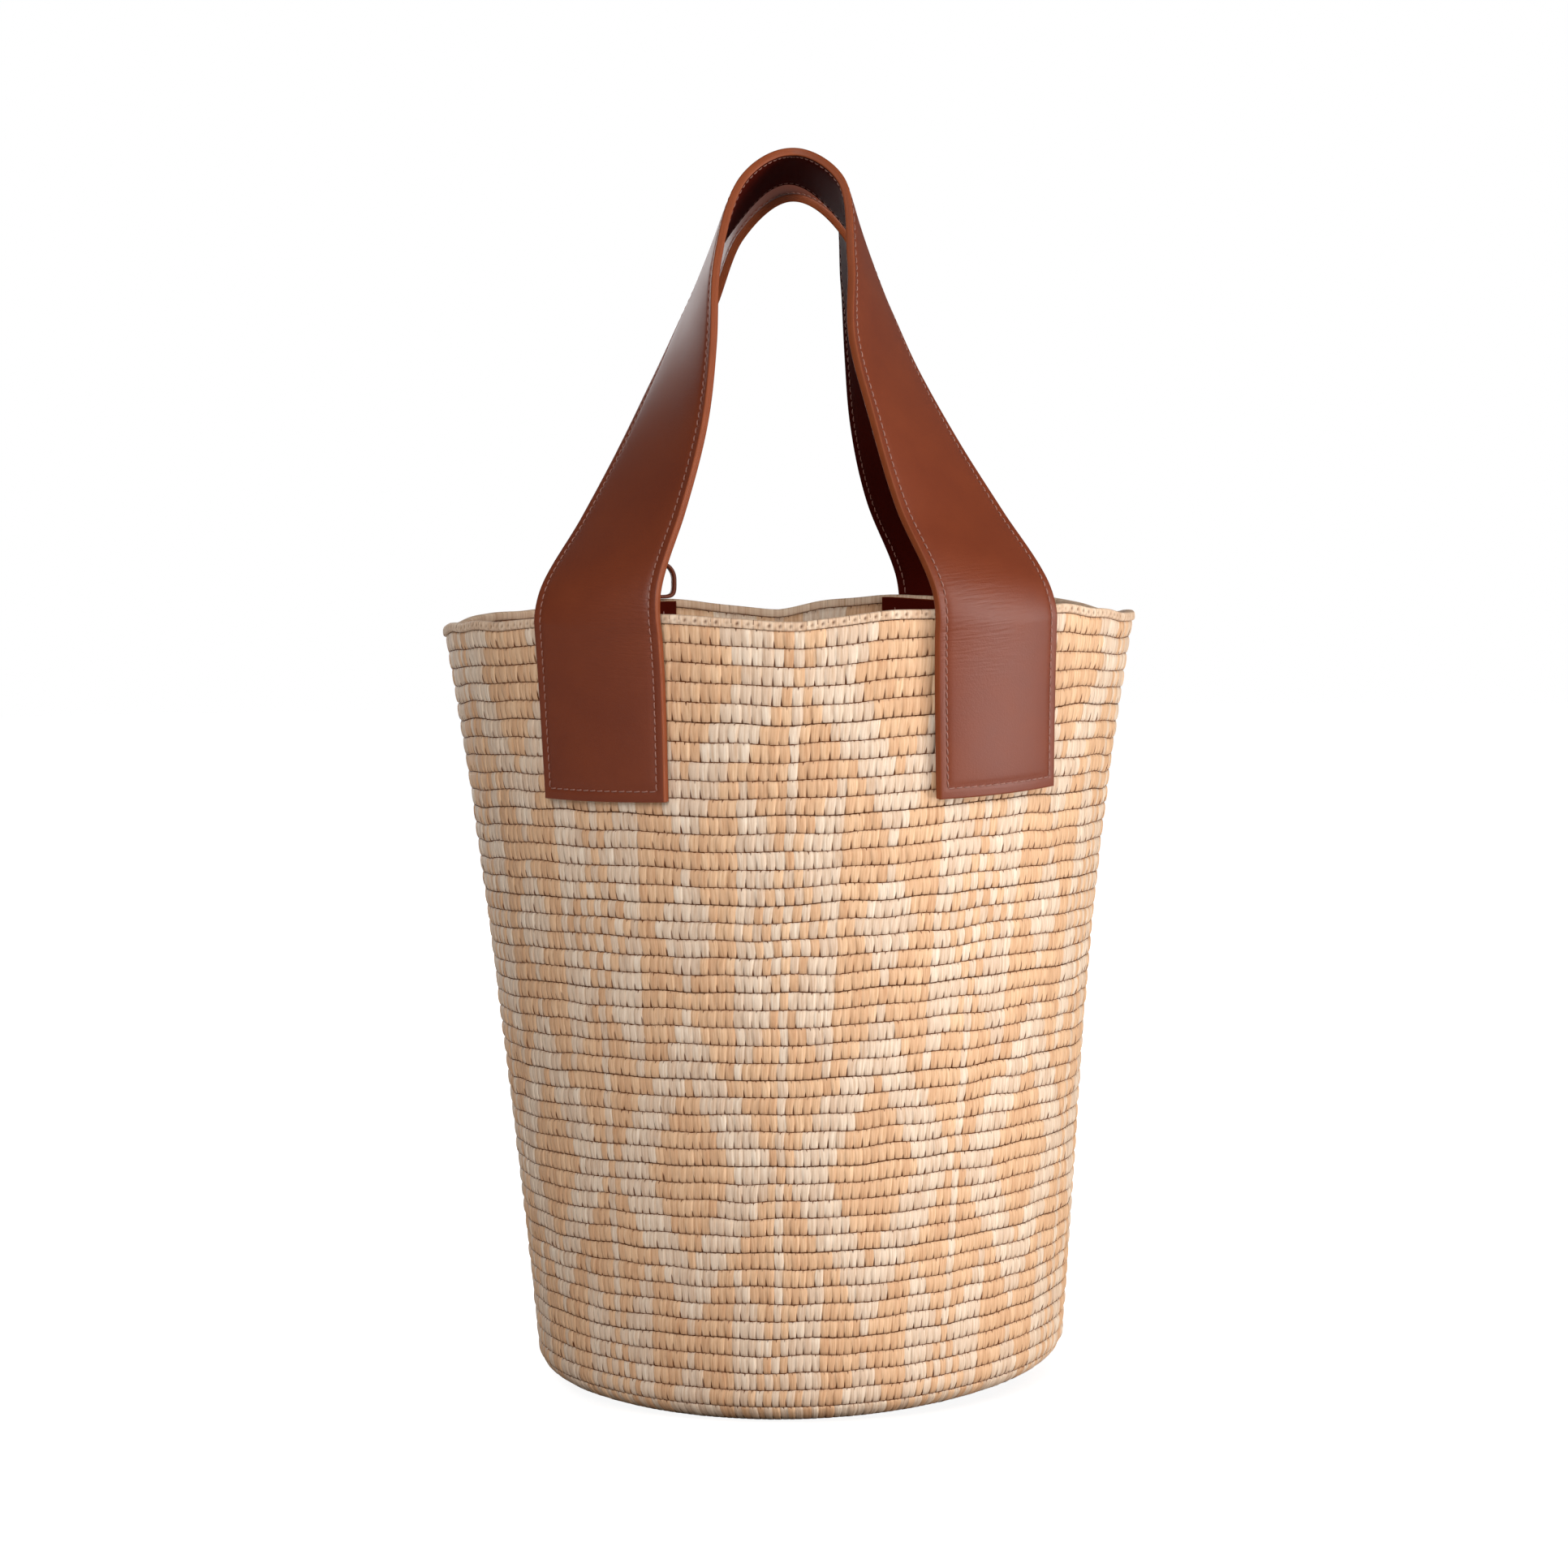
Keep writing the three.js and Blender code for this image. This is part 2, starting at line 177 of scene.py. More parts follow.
class StageSettings(bpy.types.PropertyGroup):
    """The camera's place and the strength of the light."""

    lens: factor("Lens", "Focal length on a 36 mm sensor", 101.7)
    distance: metres("Distance", "From the camera to the basket's axis", 1.936)
    height: metres("Camera Height", "Of the lens above the floor", 0.3880)
    pitch: degrees("Pitch", "How far the camera looks down", 3.0)
    roll: degrees("Roll", "How far the camera is held off level", 0.5)
    turn: degrees("Turn", "The camera's turn round the basket", -1.8)
    aside: metres("Aside", "The camera's step to its left", 0.0016)
    lift: factor("Lift", "The lens shift as a share of the picture", -0.04)
    ambient: factor("Ambient", "Strength of the white surroundings", 0.16)
    lamps: factor("Lamps", "Power in watts that each lamp takes its own share of", 19.6)


# Meshes


def closed_grid(points, wrap_rows=True):
    """Quads of a grid whose last column joins its first, and whose last row may join its first."""
    rows, columns = points.shape[:2]
    joined_rows = rows if wrap_rows else rows - 1
    r, c = np.meshgrid(np.arange(joined_rows), np.arange(columns), indexing="ij")
    r_next, c_next = (r + 1) % rows, (c + 1) % columns
    corners = [(r, c), (r, c_next), (r_next, c_next), (r_next, c)]
    return np.stack([row * columns + column for row, column in corners], -1).reshape(-1, 4)


def grid_corners(u, v):
    """The pair of numbers at each quad's four corners, for a grid of columns u and rows v."""
    rows, columns = np.meshgrid(np.arange(len(v) - 1), np.arange(len(u) - 1), indexing="ij")
    pairs = [(columns, rows), (columns + 1, rows), (columns + 1, rows + 1), (columns, rows + 1)]
    return np.stack([np.stack([u[c], v[r]], -1) for c, r in pairs], 2).reshape(-1, 4, 2)


def signed_volume(points, quads):
    """Volume inside closed quads: the sum of the triple products of their two triangles."""
    a, b, c, d = (points[quads[:, i]] for i in range(4))
    triple = np.einsum("ij,ij->i", a, np.cross(b, c) + np.cross(c, d))
    return triple.sum() / 6


def mesh_object(name, points, quads, uv=None, values=None, face_values=None, slots=None,
                sharp=None):
    """Makes a smooth mesh from points and quads, with its faces outwards.

    uv holds one pair for each corner of each quad. values holds one number a point, and
    face_values one number a face, each under the name of its attribute. slots gives each
    face its material. An edge whose two points are both marked in sharp is not smoothed.
    """
    points = points.reshape(-1, 3)
    if signed_volume(points, quads) < 0:
        quads = quads[:, ::-1]
        uv = None if uv is None else uv[:, ::-1]
    mesh = bpy.data.meshes.new(name)
    mesh.vertices.add(len(points))
    mesh.vertices.foreach_set("co", points.astype(np.float32).ravel())
    mesh.loops.add(quads.size)
    mesh.loops.foreach_set("vertex_index", quads.astype(np.int32).ravel())
    mesh.polygons.add(len(quads))
    mesh.polygons.foreach_set("loop_start", np.arange(0, quads.size, 4, dtype=np.int32))
    mesh.polygons.foreach_set("use_smooth", np.ones(len(quads), bool))
    if slots is not None:
        mesh.polygons.foreach_set("material_index", slots.astype(np.int32))
    mesh.update(calc_edges=True)
    if uv is not None:
        layer = mesh.uv_layers.new(name="UVMap")
        layer.data.foreach_set("uv", uv.astype(np.float32).ravel())
    for domain, group in (("POINT", values), ("FACE", face_values)):
        for key, numbers in (group or {}).items():
            attribute = mesh.attributes.new(key, "FLOAT", domain)
            attribute.data.foreach_set("value", numbers.astype(np.float32).ravel())
    if sharp is not None:
        ends = np.empty(2 * len(mesh.edges), np.int32)
        mesh.edges.foreach_get("vertices", ends)
        attribute = mesh.attributes.new("sharp_edge", "BOOLEAN", "EDGE")
        attribute.data.foreach_set("value", sharp.ravel()[ends.reshape(-1, 2)].all(1))
    if mesh.validate():
        raise RuntimeError(f"{name} has faces that are not valid")
    made = bpy.data.objects.new(name, mesh)
    bpy.context.scene.collection.objects.link(made)
    return made


def joined(parts):
    """Puts several meshes into one. Each part has its points, its quads and more arrays."""
    starts = np.cumsum([0] + [len(part[0]) for part in parts[:-1]])
    quads = np.concatenate([part[1] + start for part, start in zip(parts, starts)])
    points, _, *more = (np.concatenate(arrays) for arrays in zip(*parts))
    return points, quads, *more


def move_points(made, move):
    """Puts a piece's points where move, a function of all of them, says."""
    points = np.empty(len(made.data.vertices) * 3, np.float32)
    made.data.vertices.foreach_get("co", points)
    points = move(points.reshape(-1, 3)).astype(np.float32)
    made.data.vertices.foreach_set("co", points.ravel())
    made.data.update()


def dress(made, slot_name, *materials):
    """Gives a piece its materials."""
    for material in materials:
        made.data.materials.append(material)
    return made


def set_on_body(made, node, slot_name, material):
    """Dresses a piece that stands for a node of the body and stays on it."""
    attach(made, "root")
    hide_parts(node)
    return dress(made, slot_name, material)


# Curves


def smooth_step(share):
    """Rises from 0 to 1 by 3 squares less 2 cubes, and stays there."""
    share = np.clip(share, 0, 1)
    return share * share * (3 - 2 * share)


def near_end(share, nth):
    """Rises from 0 to 1 over the last nth of the way, smoothly."""
    return smooth_step(nth * share - (nth - 1))


def hump(value, width):
    """A bell curve of height 1 at zero."""
    return np.exp(-((value / width) ** 2))


def squared(value, power):
    """A sine or cosine raised to a power with its sign kept, which squares a circle's sides."""
    return np.sign(value) * np.abs(value) ** power


def radial(angle):
    """Level unit vectors, turned by an angle from -Y towards +X."""
    return np.stack([np.sin(angle), -np.cos(angle), np.zeros_like(angle)], -1)


def tangent(angle):
    """Level unit vectors square to the radial ones."""
    return np.stack([np.cos(angle), np.sin(angle), np.zeros_like(angle)], -1)


def unit(vectors):
    """The vectors at length 1."""
    return vectors / np.linalg.norm(vectors, axis=-1, keepdims=True)


def hermite(knots, values, slopes, at):
    """The cubic through the values at the knots with those slopes."""
    index = np.clip(np.searchsorted(knots, at, side="right") - 1, 0, len(knots) - 2)
    span = (knots[index + 1] - knots[index])[:, None]
    t = (at - knots[index])[:, None] / span
    start, end = values[index], values[index + 1]
    start_slope, end_slope = slopes[index] * span, slopes[index + 1] * span
    square, cube = t * t, t * t * t
    return (start * (2 * cube - 3 * square + 1) + start_slope * (cube - 2 * square + t)
            + end * (3 * square - 2 * cube) + end_slope * (cube - square))


# Shape of the body


def wall_shape(height, body):
    """Outer radius at a height and how much it grows: a straight lean and a cubic flare."""
    share = height / body.height
    base_radius = BASE_TOP.x + body.wall_thickness + body.clearance
    lean = body.rim_radius - base_radius - body.rim_flare
    radius = base_radius + lean * share + body.rim_flare * share**3
    return radius, (lean + 3 * body.rim_flare * share**2) / body.height


# The seeded waves: how many there are, their height as a share of the rim wave, how many turns
# the first has round the body and how many more each next one, their slope and how they shrink
WAVE_COUNT = 10
WAVE_SHARE = 0.075
FIRST_TURNS = 5
MORE_TURNS = 3
MOST_SLOPE = 40
WAVE_SHRINK = 0.12
# The rim between the feet: its mean height and its finer ripples, as shares of the rim wave
RIM_MEAN_SHARE = 0.8
RIPPLE_SHARE = 0.35
RIPPLES = 9
RIPPLE_START = 0.5
# The share of the tilt that is lost at the rim, and how far up the lifted sides fade out
TILT_LOSS_SHARE = 0.4
SIDES_SHARE = 0.4
# Where a foot pulls most, from the middle of the front or back, how wide, and shares of the pull
# that are the same all round, less at the sides and more in front
PULL_ANGLE = math.radians(18)
PULL_WIDTH = math.radians(14)
PULL_MEAN_SHARE = 0.2
PULL_SIDE_SHARE = 0.3
PULL_FRONT_SHARE = 0.2


def fabric_wave(angle, height, body):
    """How far the soft fabric stands above or below its even place.

    The rim rises at the four feet and sinks between them, as four waves round it, which fade
    down the wall with a square. The rounds are tilted, higher on the right, by a sine. At the
    base both sides are lifted by the square of a sine, which fades out upwards. A bell curve
    pulls the rim up beside each foot. The hand's own small waves make the rounds uneven.
    """
    share = height / body.height
    sine = np.sin(angle)
    ripples = RIPPLE_SHARE * np.sin(RIPPLES * angle + RIPPLE_START) * near_end(share, 8)
    rim = RIM_MEAN_SHARE - np.cos(4 * angle) + ripples
    small = WAVE_SHARE * hand_waves(angle, share, body.seed) * smooth_step(share * 8)
    tilt = body.round_tilt * sine * (1 - TILT_LOSS_SHARE * near_end(share, 4))
    sides = body.side_lift * sine**2 * (1 - smooth_step(share / SIDES_SHARE))
    beside = hump(np.arcsin(np.abs(sine)) - PULL_ANGLE, PULL_WIDTH)
    pull = PULL_MEAN_SHARE + beside - PULL_SIDE_SHARE * sine**2 + PULL_FRONT_SHARE * np.cos(angle)
    pull = body.foot_pull * pull * near_end(share, 5)
    return body.rim_wave * (rim * share**2 + small) + tilt + sides + pull


def hand_waves(angle, share, seed):
    """A sum of seeded waves that wind round the body at different slopes.

    The number of turns round the body grows, and each wave is lower than the one before it.
    """
    rng = np.random.default_rng(seed + 5)
    total = 0.0
    for place in range(WAVE_COUNT):
        around = (FIRST_TURNS + MORE_TURNS * place) * angle
        upward = rng.uniform(-MOST_SLOPE, MOST_SLOPE) * share
        start = rng.uniform(0, FULL_TURN)
        total = total + np.sin(around + upward + start) / (1 + WAVE_SHRINK * place)
    return total


# How far the diamonds of the pattern reach, in stitches across and rounds up
LOZENGE = (10.5, 9.5)
HOLLOW = (5.5, 5.75)
SMALL_DIAMOND = 3
CHEQUER = 5
BAR_ROUNDS = 8
BAR_STEP = 4


def is_cream(stitch, round_number, body):
    """The rule of the diamonds, in whole stitches and rounds.

    aside counts stitches from the nearest dashed column and upward counts rounds from the
    nearest row of small diamonds. Cream are a wide lozenge frame, a small diamond between the
    frames, a chequered diamond on the dashed column with upright bars beside it, and the dash.
    """
    half_across = body.repeat_stitches // 2
    half_up = body.repeat_rounds // 2
    aside = np.abs((stitch + half_across) % body.repeat_stitches - half_across)
    upward = np.abs((round_number + half_up) % body.repeat_rounds - half_up)
    to_frame = half_across - aside
    to_middle = half_up - upward
    in_lozenge = to_frame / LOZENGE[0] + to_middle / LOZENGE[1] <= 1
    in_hollow = to_frame / HOLLOW[0] + to_middle / HOLLOW[1] < 1
    small_diamond = to_frame + upward <= SMALL_DIAMOND
    chequer = aside + upward <= CHEQUER
    odd = (aside + upward) % 2 == 1
    bars = (aside <= CHEQUER) & (upward <= BAR_ROUNDS) & (aside > upward - BAR_STEP) & ~chequer
    dash = (aside == 0) & (upward >= CHEQUER) & (upward < half_up)
    return (in_lozenge & ~in_hollow) | small_diamond | (chequer & odd) | bars | dash


class RoundFace(NamedTuple):
    """Points up one round of a face, as shares of its height.

    depths are shares of the groove between rounds, and notches shares of that between stitches.
    """

    shares: np.ndarray
    depths: np.ndarray
    notches: np.ndarray


OUTER_SHARES = RoundFace(
    np.array([0.0, 0.06, 0.2, 0.4, 0.62, 0.82, 0.95]),
    np.array([1.0, 0.42, 0.12, 0.0, 0.04, 0.24, 0.62]),
    np.array([1.0, 1.0, 0.9, 0.5, 0.2, 0.2, 0.4]))
INNER_SHARES = RoundFace(
    np.array([0.0, 0.3, 0.7]), np.array([1.0, 0.15, 0.15]), np.array([0.8, 0.6, 0.6]))
# Points across one stitch, as shares of its width, and their shares of the groove beside it
STITCH_SHARES = np.array([0.0, 0.07, 0.32, 0.68, 0.93])
STITCH_DEPTH_SHARES = np.array([1.0, 0.3, 0.0, 0.0, 0.3])
ROUND_GROOVE = 0.0011
STITCH_GROOVE = 0.0007
INNER_GROOVE_SHARE = 0.5
UNEVEN_DEPTH = 0.0005
ROUNDS_IN_BAND = 5
# Most that a stitch and a round start off their even place, as shares of a stitch
STITCH_SHIFT_SHARE = 0.09
ROUND_SHIFT_SHARE = 0.18
# How far a stitch leans to the next round's, its groove's least and added share, and how dark
# the painted shade in the grooves between rounds and between stitches is
LEAN_SHARE = 0.5
GROOVE_LEAST_SHARE = 0.7
GROOVE_MORE_SHARE = 0.6
ROUND_SHADE_SHARE = 0.3
STITCH_SHADE_SHARE = 0.25


def stitch_columns(first_round, count, body):
    """Angles of every point column in each round, from its uneven stitches.

    A stitch starts at its number plus a small seeded shift, and its inner points lie at the
    shares of its width. Each round leans on by its share and starts a little off its
    neighbours.
    """
    rng = np.random.default_rng(body.seed)
    shape = (body.rounds + 1, body.stitches)
    shifts = rng.uniform(-STITCH_SHIFT_SHARE, STITCH_SHIFT_SHARE, shape)
    starts = rng.uniform(-ROUND_SHIFT_SHARE, ROUND_SHIFT_SHARE, body.rounds + 1)
    numbers = np.arange(first_round, first_round + count)
    left = np.arange(body.stitches) + shifts[numbers]
    right = np.roll(left, -1, axis=1)
    right[:, -1] += body.stitches
    place = left[..., None] + (right - left)[..., None] * STITCH_SHARES
    place = place.reshape(count, -1) + (starts[numbers] + body.round_lean * numbers)[:, None]
    return body.pattern_turn + place * FULL_TURN / body.stitches


def stitch_face(first, face, body):
    """Rows of points over a band of stitches: angle, height, depth and gap for each.

    Depth is the round's groove plus the stitch's groove, each by its share, and a seeded
    unevenness. Gap is how far a point lies in the shade of its neighbours, from 0 to 1.
    """
    round_height = (body.height - body.edging_height) / body.rounds
    angles = stitch_columns(first, ROUNDS_IN_BAND + 1, body)
    per_round = len(face.shares)
    steps = np.arange(ROUNDS_IN_BAND * per_round + 1)
    number, part = steps // per_round, steps % per_round
    height = (first + number + face.shares[part]) * round_height
    angle = angles[number]
    next_angle = angles[np.minimum(number + 1, ROUNDS_IN_BAND)]
    angle = angle + (next_angle - angle) * (face.shares[part] ** 3)[:, None] * LEAN_SHARE
    across = np.tile(STITCH_DEPTH_SHARES, body.stitches)
    rng = np.random.default_rng(body.seed + 1)
    uneven = rng.uniform(0, 1, (body.rounds + 1, body.stitches))[first + number]
    uneven = np.repeat(uneven, len(STITCH_SHARES), axis=1)
    deep = face.depths[part][:, None]
    notch = face.notches[part][:, None] * across[None]
    groove = STITCH_GROOVE * (GROOVE_LEAST_SHARE + GROOVE_MORE_SHARE * uneven)
    depth = deep * ROUND_GROOVE + notch * groove + UNEVEN_DEPTH * uneven * (1 - deep)
    gap = ROUND_SHADE_SHARE * np.maximum(deep**2, STITCH_SHADE_SHARE * notch)
    return angle, height[:, None] + np.zeros_like(angle), depth, gap


def spread_shares(shares, count):
    """The shares repeated over a count of stitches or rounds, and the last one's end."""
    return np.append((np.arange(count)[:, None] + shares).ravel(), count)


def corner_inset(height, body):
    """How far the corner over the base draws in, as a quarter circle."""
    corner = np.clip(body.corner_radius - height, 0, body.corner_radius)
    return body.corner_radius - np.sqrt(body.corner_radius**2 - corner**2)


def wall_points(angle, height, inward, body):
    """Points of the wall, where inward is the distance in from its outer face.

    The wave lifts each point, and the whole wall leans a little to one side at its foot, which
    fades out two thirds up. The sides of the rim are drawn in by the fourth power of a sine.
    """
    share = height / body.height
    drawn = body.side_draw * np.sin(angle) ** 4 * smooth_step(share)
    radius = wall_shape(height, body)[0] - corner_inset(height, body) - drawn - inward
    points = radial(angle) * radius[..., None]
    points[..., 0] += body.base_aside * (1 - smooth_step(1.5 * share))
    points[..., 2] = np.maximum(height + fabric_wave(angle, height, body), 0)
    return points


def make_wall_band(index, body, material):
    """One band of the wall, outside and inside, as a closed ring of stitched rows."""
    first = index * ROUNDS_IN_BAND
    outer, inner = (stitch_face(first, face, body) for face in (OUTER_SHARES, INNER_SHARES))
    outer_points = wall_points(*outer[:3], body)
    inner_depth = body.wall_thickness - INNER_GROOVE_SHARE * inner[2]
    inner_points = wall_points(inner[0], inner[1], inner_depth, body)
    points = np.concatenate([outer_points, inner_points[::-1]])
    # Painted shade in the grooves of the outside and the inside
    painted_shades = np.concatenate([outer[3], inner[3][::-1]])
    outer_up, inner_up = (
        spread_shares(face.shares, ROUNDS_IN_BAND) for face in (OUTER_SHARES, INNER_SHARES))
    upward = np.concatenate([outer_up, inner_up[::-1], outer_up[:1]]) + first
    uv = grid_corners(spread_shares(STITCH_SHARES, body.stitches), upward)
    stitch, number = np.floor(uv.mean(1)).astype(int).T
    rng = np.random.default_rng(body.seed + 2)
    tints = rng.uniform(0, 1, (body.rounds + 1, body.stitches))
    made = mesh_object(
        f"raffia_wall_band_{index + 1}", points, closed_grid(points), uv,
        {"gap": painted_shades}, {"cream": is_cream(stitch, number, body), "tint": tints[number, stitch]})
    return set_on_body(made, "raffia_wall", "raffia", material)


# The chained edging: points along one link and round it, how cream it is, how much thicker and
# higher it is than its even size, how square, and where it lies in its round of the material
LINK_STEPS = 8
EDGING_RING = 16
EDGING_CREAM = 0.7
EDGING_EXTRA = (0.0002, 0.0001)
EDGING_POWERS = (0.45, 0.6)
EDGING_UP_SHARES = (0.35, 0.3)
# How sharply its outside turns towards its top, and how uneven its links are
OUTWARD_SHARPNESS = 1.6
LINK_UNEVEN = 0.0002
# The hole in each link and the nick between two: their widths and heights as shares, depths and
# the darkness of the painted shade in them. The hole slants, and a seeded number makes it deeper
# and its painted shade darker
HOLE_SLANT = 0.25
HOLE_SHARES = (0.14, 0.3)
HOLE_DEPTH = 0.0005
HOLE_SHADE_SHARES = (0.4, 0.7)
NICK_SHARES = (0.1, 0.6)
NICK_DEPTH = 0.0004
NICK_SHADE_SHARE = 0.35


def make_edging(body, material):
    """The chained edging: a squared ring whose outside has a slanted hole in each link.

    Its section is a superellipse, and each hole and the nick between two links are bell
    curves pushed into it.
    """
    links = body.stitches
    place = np.arange(links * LINK_STEPS + 1) / LINK_STEPS
    turn = body.pattern_turn + body.round_lean * body.rounds * FULL_TURN / links
    angle = turn + place[:-1] * FULL_TURN / links
    ring = np.arange(EDGING_RING)[:, None] * FULL_TURN / EDGING_RING
    half_thick = body.wall_thickness / 2 + EDGING_EXTRA[0]
    half_high = body.edging_height / 2 + EDGING_EXTRA[1]
    rise = squared(np.sin(ring), EDGING_POWERS[1])
    share = place[:-1][None] % 1
    outward = np.clip(np.cos(ring) * OUTWARD_SHARPNESS, 0, 1)
    hole = hump(share - 0.5 - HOLE_SLANT * rise, HOLE_SHARES[0]) * hump(rise, HOLE_SHARES[1])
    nick = hump(np.minimum(share, 1 - share), NICK_SHARES[0]) * hump(rise + 1, NICK_SHARES[1])
    rng = np.random.default_rng(body.seed + 3)
    uneven = np.repeat(rng.uniform(0, 1, links), LINK_STEPS)[None]
    out = squared(np.cos(ring), EDGING_POWERS[0]) * half_thick
    out = out - outward * (hole * HOLE_DEPTH * (1 + uneven) + NICK_DEPTH * nick)
    out = out + outward * LINK_UNEVEN * (uneven - 0.5)
    middle = body.height - body.edging_height / 2
    drawn = body.side_draw * np.sin(angle) ** 4
    radius = wall_shape(middle, body)[0] - body.wall_thickness / 2 - drawn + out
    points = radial(angle)[None] * radius[..., None]
    points[..., 2] = middle + rise * half_high + fabric_wave(angle[None], middle, body)
    upward = EDGING_UP_SHARES[0] + EDGING_UP_SHARES[1] * np.arange(EDGING_RING + 1) / EDGING_RING
    uv = grid_corners(place, upward + body.rounds)
    stitch = np.floor(uv[:, :, 0].mean(1)).astype(int)
    tints = rng.uniform(0, 1, links)
    # Painted shade in each hole and nick, kept to the outside of the edging
    gap = (HOLE_SHADE_SHARES[0] + HOLE_SHADE_SHARES[1] * uneven) * hole + NICK_SHADE_SHARE * nick
    made = mesh_object(
        "rim_edging_chain", points, closed_grid(points), uv,
        {"gap": outward * np.clip(gap, 0, 1)},
        {"cream": np.full(len(uv), EDGING_CREAM), "tint": tints[stitch]})
    return set_on_body(made, "rim_edging", "raffia_edging", material)


# Section of one round of the base, as shares of its width and of its thickness
BASE_SECTION_SHARES = np.array([
    [0.0, 0.5], [0.03, 0.85], [0.2, 0.98], [0.5, 1.0], [0.8, 0.98], [0.97, 0.85],
    [1.0, 0.5], [0.97, 0.15], [0.8, 0.02], [0.5, 0.0], [0.2, 0.02], [0.03, 0.15]])
# The base's stitches: their width, their least number in a round, how far each round is turned,
# and their least depth and the least darkness of their painted shade, and what a seeded number adds
BASE_STITCH = 0.0041
LEAST_STITCHES = 6
BASE_ROUND_TURN = 0.7
BASE_GROOVE_SHARE = 0.6
BASE_SHADE_SHARES = (0.35, 0.4)


def base_round(number, body, rng):
    """One round of the base: a closed ring of stitches whose section is carried round."""
    outer = BASE_TOP.x
    width = outer / body.base_rounds
    middle_length = FULL_TURN * (number + 0.5) * width
    stitches = max(int(round(middle_length / BASE_STITCH)), LEAST_STITCHES)
    places = spread_shares(STITCH_SHARES, stitches)
    angle = places[:-1] * FULL_TURN / stitches + number * BASE_ROUND_TURN
    across = np.tile(STITCH_DEPTH_SHARES, stitches)
    uneven = np.repeat(rng.uniform(0, 1, stitches), len(STITCH_SHARES))
    side, high = BASE_SECTION_SHARES[:, :1], BASE_SECTION_SHARES[:, 1:]
    facing = 2 * high - 1
    inward = across * STITCH_GROOVE * BASE_GROOVE_SHARE * (1 + uneven) * facing
    height = high * BASE_TOP.z - inward
    reach = wall_shape(height, body)[0] - corner_inset(height, body) - body.wall_thickness
    radius = (number + side) * width * reach / outer
    points = radial(np.broadcast_to(angle, radius.shape)) * radius[..., None]
    points[..., 0] += body.base_aside
    lift = fabric_wave(angle, np.zeros_like(radius), body) * (radius / outer) ** 4
    points[..., 2] = height + np.maximum(lift, 0)
    # Painted shade at the joints between rounds and in the grooves between stitches
    stitch_shade = across * (BASE_SHADE_SHARES[0] + BASE_SHADE_SHARES[1] * uneven)
    gap = np.maximum(np.abs(2 * side - 1) ** 6, np.abs(facing) * stitch_shade)
    uv = grid_corners(places, np.arange(len(side) + 1) / len(side) + number)
    return points.reshape(-1, 3), closed_grid(points), uv, gap.ravel()


def make_base(body, material):
    """The base: rounds of stitches inside one another, joined into one piece."""
    rng = np.random.default_rng(body.seed + 4)
    rounds = [base_round(number, body, rng) for number in range(body.base_rounds)]
    points, quads, uv, gap = joined(rounds)
    stitch, number = np.floor(uv.mean(1)).astype(int).T
    tints = rng.uniform(0, 1, (body.base_rounds, stitch.max() + 1))
    made = mesh_object("raffia_base_rounds", points, quads, uv, {"gap": gap},
                       {"cream": np.zeros(len(quads)), "tint": tints[number, stitch]})
    return set_on_body(made, "raffia_base", "raffia", material)


# Lines of the straps and patches


class Frames(NamedTuple):
    """Places along a strip: its middle, its direction across, its outside and its bulge."""

    centre: np.ndarray
    across: np.ndarray
    outside: np.ndarray
    bulge: np.ndarray


# The handle's middle line from the rim to the crown, on one side: shares of the way along the
# strap, of the foot's offset to the side, of the way back from crown to foot and of the crown's
# rise, then the strap's turn about Z and its tilt in degrees
LEG_STATION_SHARES = np.array([
    [0.077, 0.967, 0.984, 0.095, 36.2, 2.1],
    [0.231, 0.79, 0.81, 0.252, 41.2, -2.7],
    [0.385, 0.64, 0.628, 0.41, 49.1, -9.0],
    [0.538, 0.522, 0.447, 0.572, 59.0, -14.5],
    [0.692, 0.441, 0.274, 0.737, 74.2, -18.4],
    [0.846, 0.327, 0.104, 0.899, 87.3, -18.7]])
FLAT_SHARE = 0.3
MIRROR = np.array([-1.0, 1.0, 1.0])
DIRECTION_PROBE = 0.0005

# How each leg hangs off the even line: shares of the way from rim to crown, below 0 on the
# foot, and there the steps aside and up in millimetres and the turn in degrees, for the right
# leg and the left leg, each strap seen from its own side, and then the crown's tilt in degrees
MILLIMETRE = 0.001
TILT_START_SHARE = 0.55
HANG_SHARES = np.array([-0.3, 0.0, 0.2, 0.4, 0.55, 0.7, 0.85, 1.0])
HANGS = {
    "front": (
        [np.array([[1.6, 1.4, 0], [0.3, 0, 0], [-0.1, -0.7, -0.1], [-0.3, -0.3, 0.8],
                   [-2, 0.7, -1], [-0.8, -0.6, -1.7], [-0.7, 3.6, -0.1], [1.5, 2, 0]]),
         np.array([[0, 0, 0], [-1.6, 0, 0], [-4, -2.1, -5.4], [-4.4, -1.8, -4.5],
                   [-4.6, -1.1, -5.6], [-2, 1.6, -5.2], [3.7, 5, -1.4], [1.5, 2, 0]])],
        5.0),
    "back": (
        [np.array([[0, 0, 0], [2.1, 0, 0], [2.7, 0.5, 2.1], [3.9, -0.4, 3.9], [3.7, -1.2, 5],
                   [-2.3, -3.1, 9.7], [-5.2, 2.9, 2.5], [-3.4, -1.6, 0]]),
         np.array([[0, 0, 0], [-2.1, 0, 0], [-0.7, 1.6, 0.1], [-2.4, -0.6, -1.2],
                   [-4.1, 0.4, -1.5], [-1.4, -1, -1.3], [-0.4, 4.6, -0.1], [-3.4, -1.6, 0]])],
        -2.0)}


def turned(vectors, turn):
    """The vectors turned about Z, each by its own angle."""
    cosine, sine = np.cos(turn), np.sin(turn)
    x, y, z = vectors.T
    return np.stack([x * cosine - y * sine, x * sine + y * cosine, z], -1)


def across_from(turn, tilt):
    """Direction across the strap from its turn about Z and its tilt."""
    level = np.cos(tilt)
    return np.stack([np.cos(turn) * level, np.sin(turn) * level, np.sin(tilt)], -1)


